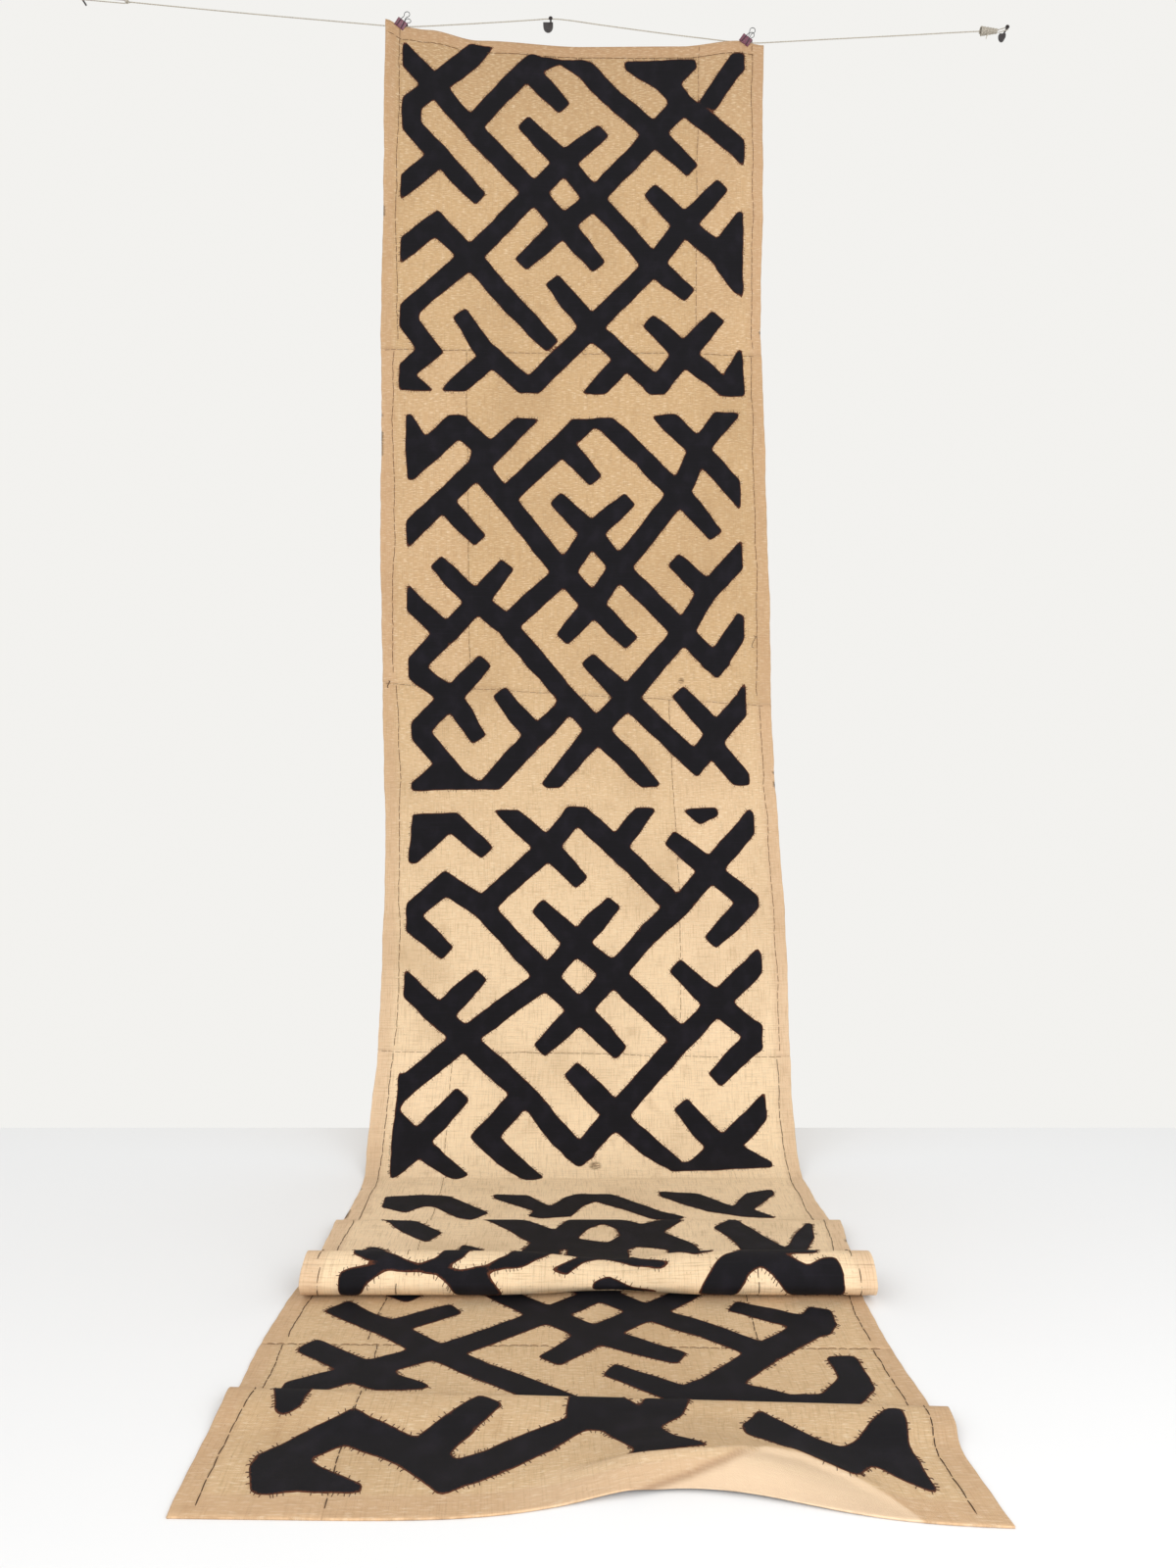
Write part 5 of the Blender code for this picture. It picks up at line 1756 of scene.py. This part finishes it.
@dataclass
class HangingLine:
    """The taut string with its end loops, knot, winding and tail."""

    diameter: float = 2.0
    y: float = -18.1
    knot_x: float = -731.0
    winding_x: float = 741.0
    winding_length: float = 31.0
    winding_z: float = -18.6
    left_nail: tuple[float, float] = (-810.0, 39.5)
    right_nail: tuple[float, float] = (786.6, -14.2)
    shank: float = 1.5
    route: Route = (
        (-726.6, 32.3), (-650.0, 24.6), (-560.0, 15.9), (-470.0, 7.4), (-380.0, -0.6), (-300.0, -7.8),
        (-262.0, -10.6), (-225.0, -10.2), (-150.0, -6.4), (-75.0, -2.0), (-30.0, 1.0), (0.0, 2.85),
        (30.0, 0.5), (90.0, -8.2), (150.0, -16.6), (210.0, -24.6), (270.0, -32.0), (318.0, -37.6),
        (350.0, -39.2), (380.0, -38.2), (460.0, -33.8), (540.0, -29.6), (620.0, -25.4), (690.0, -21.4),
        (740.6, -18.8))

    def piece(self, name: str, node: str, points: Array, faces: Iterable[Array],
              finishes: Finishes) -> Piece:
        """Make one string piece that takes its node's place."""
        return fit(make_object(name, points, faces, finishes.string), node)

    def knot(self) -> Mesh:
        """A tight knot as a cord on a trefoil: (sin u + 2 sin 2u, cos u - 2 cos 2u, -sin 3u)."""
        turn = np.linspace(0.0, math.tau, 90, endpoint=False)
        path = np.stack([np.sin(turn) + 2 * np.sin(2 * turn), np.cos(turn) - 2 * np.cos(2 * turn),
                         -np.sin(3 * turn)], axis=-1)
        size = np.array([1.25, 0.95, 1.2])
        centre = np.array([self.knot_x, self.y, self.route[0][1] + 0.5])
        return tube(path * size + centre, 1.15, 8, closed=True)

    def winding(self) -> Mesh:
        """String wound round itself: a helix whose radius falls from left to right and wavers."""
        turn = np.linspace(0.0, 15.5 * math.tau, 700)
        share = turn / turn[-1]
        radius = 6.7 - 3.9 * share + 0.35 * np.sin(turn * 0.37)
        x = self.winding_x + 1.0 + share * (self.winding_length - 2.0)
        path = np.stack([x, self.y + radius * np.cos(turn), self.winding_z + radius * np.sin(turn)], axis=-1)
        return tube(path, 1.0, 7)

    def loop(self, side: int) -> Array:
        """Route of the string round an end nail: two strands and a half turn."""
        strand = self.diameter * 0.45
        reach = self.shank + strand + 0.3
        if side < 0:
            nail, start = self.left_nail, (self.knot_x - 4.1, self.route[0][1] + 0.5)
        else:
            nail, start = self.right_nail, (self.winding_x + self.winding_length + 0.4, self.winding_z)
        slope = (start[1] - nail[1]) / (start[0] - nail[0])
        angle = np.linspace(-math.pi / 2, math.pi / 2, 15)
        x = nail[0] + side * reach * np.cos(angle)
        rise = reach * np.sin(angle)
        straight = np.linspace(start[0], nail[0], 9)[:-1]
        xs = np.concatenate([straight, x, straight[::-1]])
        rises = np.concatenate([np.full(8, rise[0]), rise, np.full(8, rise[-1])])
        z = nail[1] + (xs - nail[0]) * slope + rises * (1.0 if side < 0 else 0.9)
        if side > 0:
            z = nail[1] + np.minimum(0.0, xs - nail[0]) * slope + rises * 0.9
        return np.stack([xs, np.full_like(xs, self.y), z], axis=-1)

    def build(self, finishes: Finishes) -> list[Piece]:
        path = smooth_path(np.array([(x, self.y, z) for x, z in self.route]), 1.6)
        points, faces = tube(path, self.diameter / 2, 12, twist=math.tau / 9.0, plies=2, ply_depth=0.22)
        line = self.piece("line_string", "line", points, faces, finishes)
        extras = [self.piece("line_knot", "line_knot_left", *self.knot(), finishes),
                  self.piece("line_winding", "line_winding_right", *self.winding(), finishes)]
        for name, node, side in (("line_end_loop_left", "line_loop_left", -1),
                                 ("line_end_loop_right", "line_loop_right", 1)):
            route = smooth_path(self.loop(side), 1.2)
            strand = tube(route, 0.9, 8, twist=0.9, plies=2, ply_depth=0.2)
            extras.append(self.piece(name, node, *strand, finishes))
        tail = smooth_path(np.array([(754.5, self.y - 4.5, -24.2), (752.6, self.y - 6.2, -28.0),
                                     (750.3, self.y - 6.4, -31.5), (749.0, self.y - 5.8, -36.2)]), 0.8)
        thin = 0.9 - 0.35 * np.linspace(0.0, 1.0, len(tail)) ** 3
        extras.append(self.piece("line_tail", "line_tail_right", *tube(tail, thin, 8), finishes))
        self.declare(line, path, self.diameter, "taut", [extras[0], extras[1], extras[3], extras[4]])
        self.declare(extras[2], smooth_path(self.loop(-1), 1.2), 1.8, "loose", [])
        return [line, *extras]

    @staticmethod
    def declare(thing: Piece, path: Array, diameter: float, lay: str,
                pieces: list[Piece]) -> None:
        """Do nothing with a string and its route; the body is empty."""


@dataclass
class Nail:
    """A round wire nail: shank, chamfered head and a shallow dimple."""

    name: str
    x: float
    z: float
    length: float
    shank: float = 1.5
    head: float = 3.4
    head_thick: float = 1.6

    def build(self, finishes: Finishes) -> Piece:
        """Turn the nail about its axis, out of the wall."""
        top, under = self.length, self.length - self.head_thick
        profile = ((0.0, top - 0.15), (self.head * 0.35, top - 0.1), (self.head * 0.72, top),
                   (self.head - 0.3, top - 0.15), (self.head, top - 0.5), (self.head, under + 0.3),
                   (self.head - 0.3, under), (self.shank + 0.3, under - 0.2), (self.shank, under - 0.7),
                   (self.shank, 0.1), (self.shank - 0.1, 0.0), (0.0, 0.0))
        points, faces = turned(profile, 28)
        points = points + np.array([self.x, 0.0, self.z])
        return fit(make_object(f"{self.name}_steel", points, faces, finishes.nail), self.name)


@dataclass
class Saddle:
    """A small moulded cable saddle: a half-round block whose edges are rounded."""

    name: str
    x: float
    z: float
    width: float
    height: float
    depth: float = 9.0
    y: float = -13.0
    round: float = 1.2

    def build(self, finishes: Finishes) -> Piece:
        """Stack rings of the outline from back to front, drawn in at both ends by a quarter circle."""
        angle = np.linspace(math.pi, math.tau, 25)
        outline = np.vstack([np.stack([self.width / 2 * np.cos(angle),
                                       0.25 * self.height + 0.75 * self.height * np.sin(angle)], axis=-1),
                             [[self.width / 2, self.height / 2], [0.0, self.height / 2],
                              [-self.width / 2, self.height / 2]]])
        quarter = np.linspace(0.0, math.pi / 2, 6)
        inset = np.concatenate([self.round * (1 - np.sin(quarter)), self.round * (1 - np.cos(quarter))])
        deep = np.concatenate([self.round * (1 - np.cos(quarter)),
                               self.depth - self.round * (1 - np.sin(quarter))])
        centre = outline.mean(axis=0)
        reach = np.abs(outline - centre).max(axis=0)
        share = 1.0 - inset[:, None] / reach[None]
        rings = centre + (outline - centre)[None] * share[:, None]
        y = np.broadcast_to((self.y + self.depth / 2 - deep)[:, None], rings.shape[:2])
        points = np.stack([rings[..., 0] + self.x, y, rings[..., 1] + self.z], axis=-1)
        count, around = points.shape[:2]
        flat = points.reshape(-1, 3)
        ends = np.vstack([points[0].mean(axis=0), points[-1].mean(axis=0)])
        faces = [grid_faces(count, around, wrap=True), *grid_caps(count, around)]
        thing = make_object(f"{self.name}_moulded", np.vstack([flat, ends]), faces, finishes.plastic)
        return fit(thing, self.name)


# Foldback clips

@dataclass
class FoldbackClip:
    """A spring-steel foldback clip: the folded body and its two wire handles."""

    name: str
    x: float
    z: float
    tilt: float
    front_lean: float
    back_lean: float
    length: float = 19.0
    height: float = 13.0
    spine_half: float = 4.6
    steel: float = 0.5
    jaw_front: float = -21.2
    jaw_back: float = -16.5
    wire: float = 0.55
    handle: float = 29.0

    def place(self, points: Array) -> Array:
        """Turn points by the clip's tilt about Y and move them to where it grips."""
        angle = math.radians(self.tilt)
        cos, sin = math.cos(angle), math.sin(angle)
        x, y, z = points[..., 0], points[..., 1], points[..., 2]
        return np.stack([x * cos + z * sin + self.x, y, -x * sin + z * cos + self.z], axis=-1)

    def section(self) -> Array:
        """Side section of the body as (y, z) points: a rolled lip, a side, the spine and back again."""
        middle = (self.jaw_front + self.jaw_back) / 2
        lip = np.linspace(math.pi * 0.45, -math.pi * 0.62, 9)
        roll = np.stack([self.jaw_front - 0.75 + 0.62 * np.cos(lip), -0.15 + 0.62 * np.sin(lip)], axis=-1)
        roll = roll[::-1]
        side = middle - self.spine_half
        top = [(side, self.height - 1.1), (side + 0.35, self.height - 0.35), (side + 1.1, self.height)]
        front = np.vstack([roll[:7], [(self.jaw_front - 0.2, 2.0)], top])
        back = front[::-1].copy()
        back[:, 0] = 2 * middle - back[:, 0]
        return np.vstack([front, back])

    def body(self, finishes: Finishes) -> Piece:
        """Sweep the section along the clip with a steel thickness, and close its edges."""
        route = smooth_path(np.array([(0.0, y, z) for y, z in self.section()]), 0.55)[:, 1:]
        ahead = unit(np.gradient(route, axis=0))
        out = np.stack([-ahead[:, 1], ahead[:, 0]], axis=-1)
        across = np.linspace(-0.5, 0.5, 9) * self.length
        sides = []
        for sign in (1.0, -1.0):
            edge = route + sign * out * self.steel / 2
            grid = np.stack([np.broadcast_to(across, (len(route), len(across))),
                             np.broadcast_to(edge[:, :1], (len(route), len(across))),
                             np.broadcast_to(edge[:, 1:], (len(route), len(across)))], axis=-1)
            sides.append(grid)
        rows, columns = sides[0].shape[:2]
        count = rows * columns
        index = np.arange(count).reshape(rows, columns)
        loop = rim(index)
        after = np.roll(loop, -1)
        faces = [grid_faces(rows, columns), grid_faces(rows, columns, start=count)[:, ::-1],
                 np.stack([loop, after, after + count, loop + count], axis=-1)]
        points = self.place(np.vstack([sides[0].reshape(-1, 3), sides[1].reshape(-1, 3)]))
        centre = points.mean(axis=0)
        corner, below, _, beside = (points[column] for column in faces[0].T)
        outward = (np.cross(below - corner, beside - corner) * (corner - centre)).sum()
        if outward < 0:
            faces = [block[:, ::-1] for block in faces]
        thing = make_object(f"{self.name}_steel_body", points, faces, finishes.paint)
        return fit(thing, f"{self.name}_body")

    def wire_path(self, side: int, lean: float) -> Array:
        """Route of a wire handle in the clip's own frame: two legs, a neck and a round eye."""
        jaw = self.jaw_front if side < 0 else self.jaw_back
        middle = (self.jaw_front + self.jaw_back) / 2
        clear = self.steel / 2 + self.wire + 0.35
        foot = jaw + side * (0.3 + clear)
        shoulder = middle + side * (self.spine_half + clear)
        slope = (shoulder - foot) / (self.height - 1.0)
        eye, eye_z = 4.6, self.handle - 4.6
        legs = [(4.6, 0.6), (4.4, 4.0), (3.9, 9.0), (3.2, 13.5), (2.4, 17.5), (2.6, 19.6)]
        angles = np.radians(-40 + 260 * np.arange(1, 8) / 16)
        half = legs + [(eye * math.cos(a), eye_z + eye * math.sin(a)) for a in angles]
        full = np.array(half + [(0.0, self.handle)] + [(-x, z) for x, z in reversed(half)])
        bend = math.radians(lean)
        over = np.maximum(full[:, 1] - self.height, 0.0)
        y = foot + slope * np.minimum(full[:, 1], self.height) + side * math.sin(bend) * over
        z = np.minimum(full[:, 1], self.height) + math.cos(bend) * over
        return np.stack([full[:, 0], y, z], axis=-1)

    def build(self, finishes: Finishes) -> list[Piece]:
        """Make the body and both handles."""
        made = [self.body(finishes)]
        for label, side, lean in (("front", -1, self.front_lean), ("back", 1, self.back_lean)):
            points, faces = tube(smooth_path(self.wire_path(side, lean), 0.8), self.wire, 10)
            thing = make_object(f"{self.name}_wire_{label}", self.place(points), faces, finishes.wire)
            made.append(fit(thing, f"{self.name}_handle_{label}"))
        return made


# Room and camera

@dataclass
class Studio:
    """A plain pale floor, soft light and the camera."""

    camera_place: tuple[float, float, float] = (0.0644, -2.02, -1.36)
    camera_tilt: float = 91.2
    lens: float = 27.0
    floor_colour: Colour = (229, 230, 232)
    air_colour: Colour = (246, 245, 242)
    air_strength: float = 0.97

    def floor(self) -> None:
        """A flat floor whose back edge is at the wall's plane."""
        shader = Shader("pale_floor")
        material = shader.finish(linear(*self.floor_colour), 0.9, specular=0.2)
        corners = np.array([[-6.0, 0.02, 0.0], [-6.0, -6.0, 0.0], [6.0, -6.0, 0.0], [6.0, 0.02, 0.0]])
        corners[:, 2] = FLOOR_Z * MM - 0.0002
        plane = make_object("floor", corners / MM, [np.array([[0, 1, 2, 3]])], material, smooth=False)

    def light(self, name: str, place: tuple[float, float, float], size: float, power: float,
              colour: tuple[float, float, float]) -> None:
        """A square soft light that looks at the middle of the cloth."""
        lamp = bpy.data.lights.new(name, "AREA")
        lamp.size = size
        lamp.energy = power
        lamp.color = colour
        thing = bpy.data.objects.new(name, lamp)
        thing.location = place
        target = np.array([0.05, -0.2, -1.2])
        ahead = unit(target - np.array(place))
        pitch = math.acos(-float(ahead[2]))
        turn = math.atan2(-float(ahead[0]), float(ahead[1]))
        thing.rotation_euler = (pitch, 0.0, turn)
        bpy.context.scene.collection.objects.link(thing)

    def build(self) -> None:
        """Make the floor, the lights, the pale surroundings and the camera."""
        self.floor()
        self.light("window_light", (-1.6, -3.4, 0.2), 2.6, 34.0, (1.0, 0.99, 0.97))
        self.light("room_light", (0.9, -2.7, -0.95), 1.5, 36.0, (0.98, 0.99, 1.0))
        world = bpy.data.worlds.new("pale_room")
        world.use_nodes = True
        background = world.node_tree.nodes["Background"]
        background.inputs["Color"].default_value = linear(*self.air_colour)
        background.inputs["Strength"].default_value = self.air_strength
        bpy.context.scene.world = world
        camera = bpy.data.cameras.new("camera")
        camera.lens = self.lens
        camera.sensor_width = 36.0
        camera.sensor_fit = "AUTO"
        camera.clip_end = 50.0
        eye = bpy.data.objects.new("camera", camera)
        eye.location = self.camera_place
        eye.rotation_euler = (math.radians(self.camera_tilt), 0.0, 0.0)
        bpy.context.scene.collection.objects.link(eye)
        bpy.context.scene.camera = eye
        bpy.context.scene.view_settings.view_transform = "Standard"


DRAPE = Drape()
EDGE_WANDER = Waves(SEED + 5, 260.0, 30.0, 6)
SQUARES = (SQUARE_1, SQUARE_2, SQUARE_3, SQUARE_4, SQUARE_5)


def main() -> None:
    logging.basicConfig(level=logging.INFO, format="%(name)s %(message)s")
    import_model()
    Studio().build()
    finishes = Finishes()
    line_pieces = HangingLine().build(finishes)
    LOG.info("line: %d pieces", len(line_pieces))
    for nail in (Nail("nail_left", -810.0, 39.5, 24.0), Nail("nail_middle", 0.0, 0.0, 25.0),
                 Nail("nail_right", 786.6, -14.2, 24.0)):
        nail.build(finishes)
    for saddle in (Saddle("cable_clip_middle", -4.6, -8.8, 17.0, 14.0),
                   Saddle("cable_clip_right", 780.5, -27.0, 11.0, 11.0)):
        saddle.build(finishes)
    for clip in (FoldbackClip("clip_left", -262.0, -12.9, 38.0, 0.0, 20.0),
                 FoldbackClip("clip_right", 332.2, -41.6, 38.0, 4.0, -3.0)):
        clip.build(finishes)
    sheets = {panel.name: (panel, panel.build(finishes)) for panel in PANELS}
    extras: dict[str, list[Piece]] = {panel.name: [] for panel in PANELS}
    black = [Applique(square, SEED + 40 + 7 * number) for number, square in enumerate(SQUARES)]
    for patch in black:
        extras[patch.square.goes_with] += patch.build(finishes)
    extras["panel_1_main"] += Sewing().build(finishes, black)
    for name, (panel, sheet) in sheets.items():
        panel.flat()


if __name__ == "__main__":
    main()
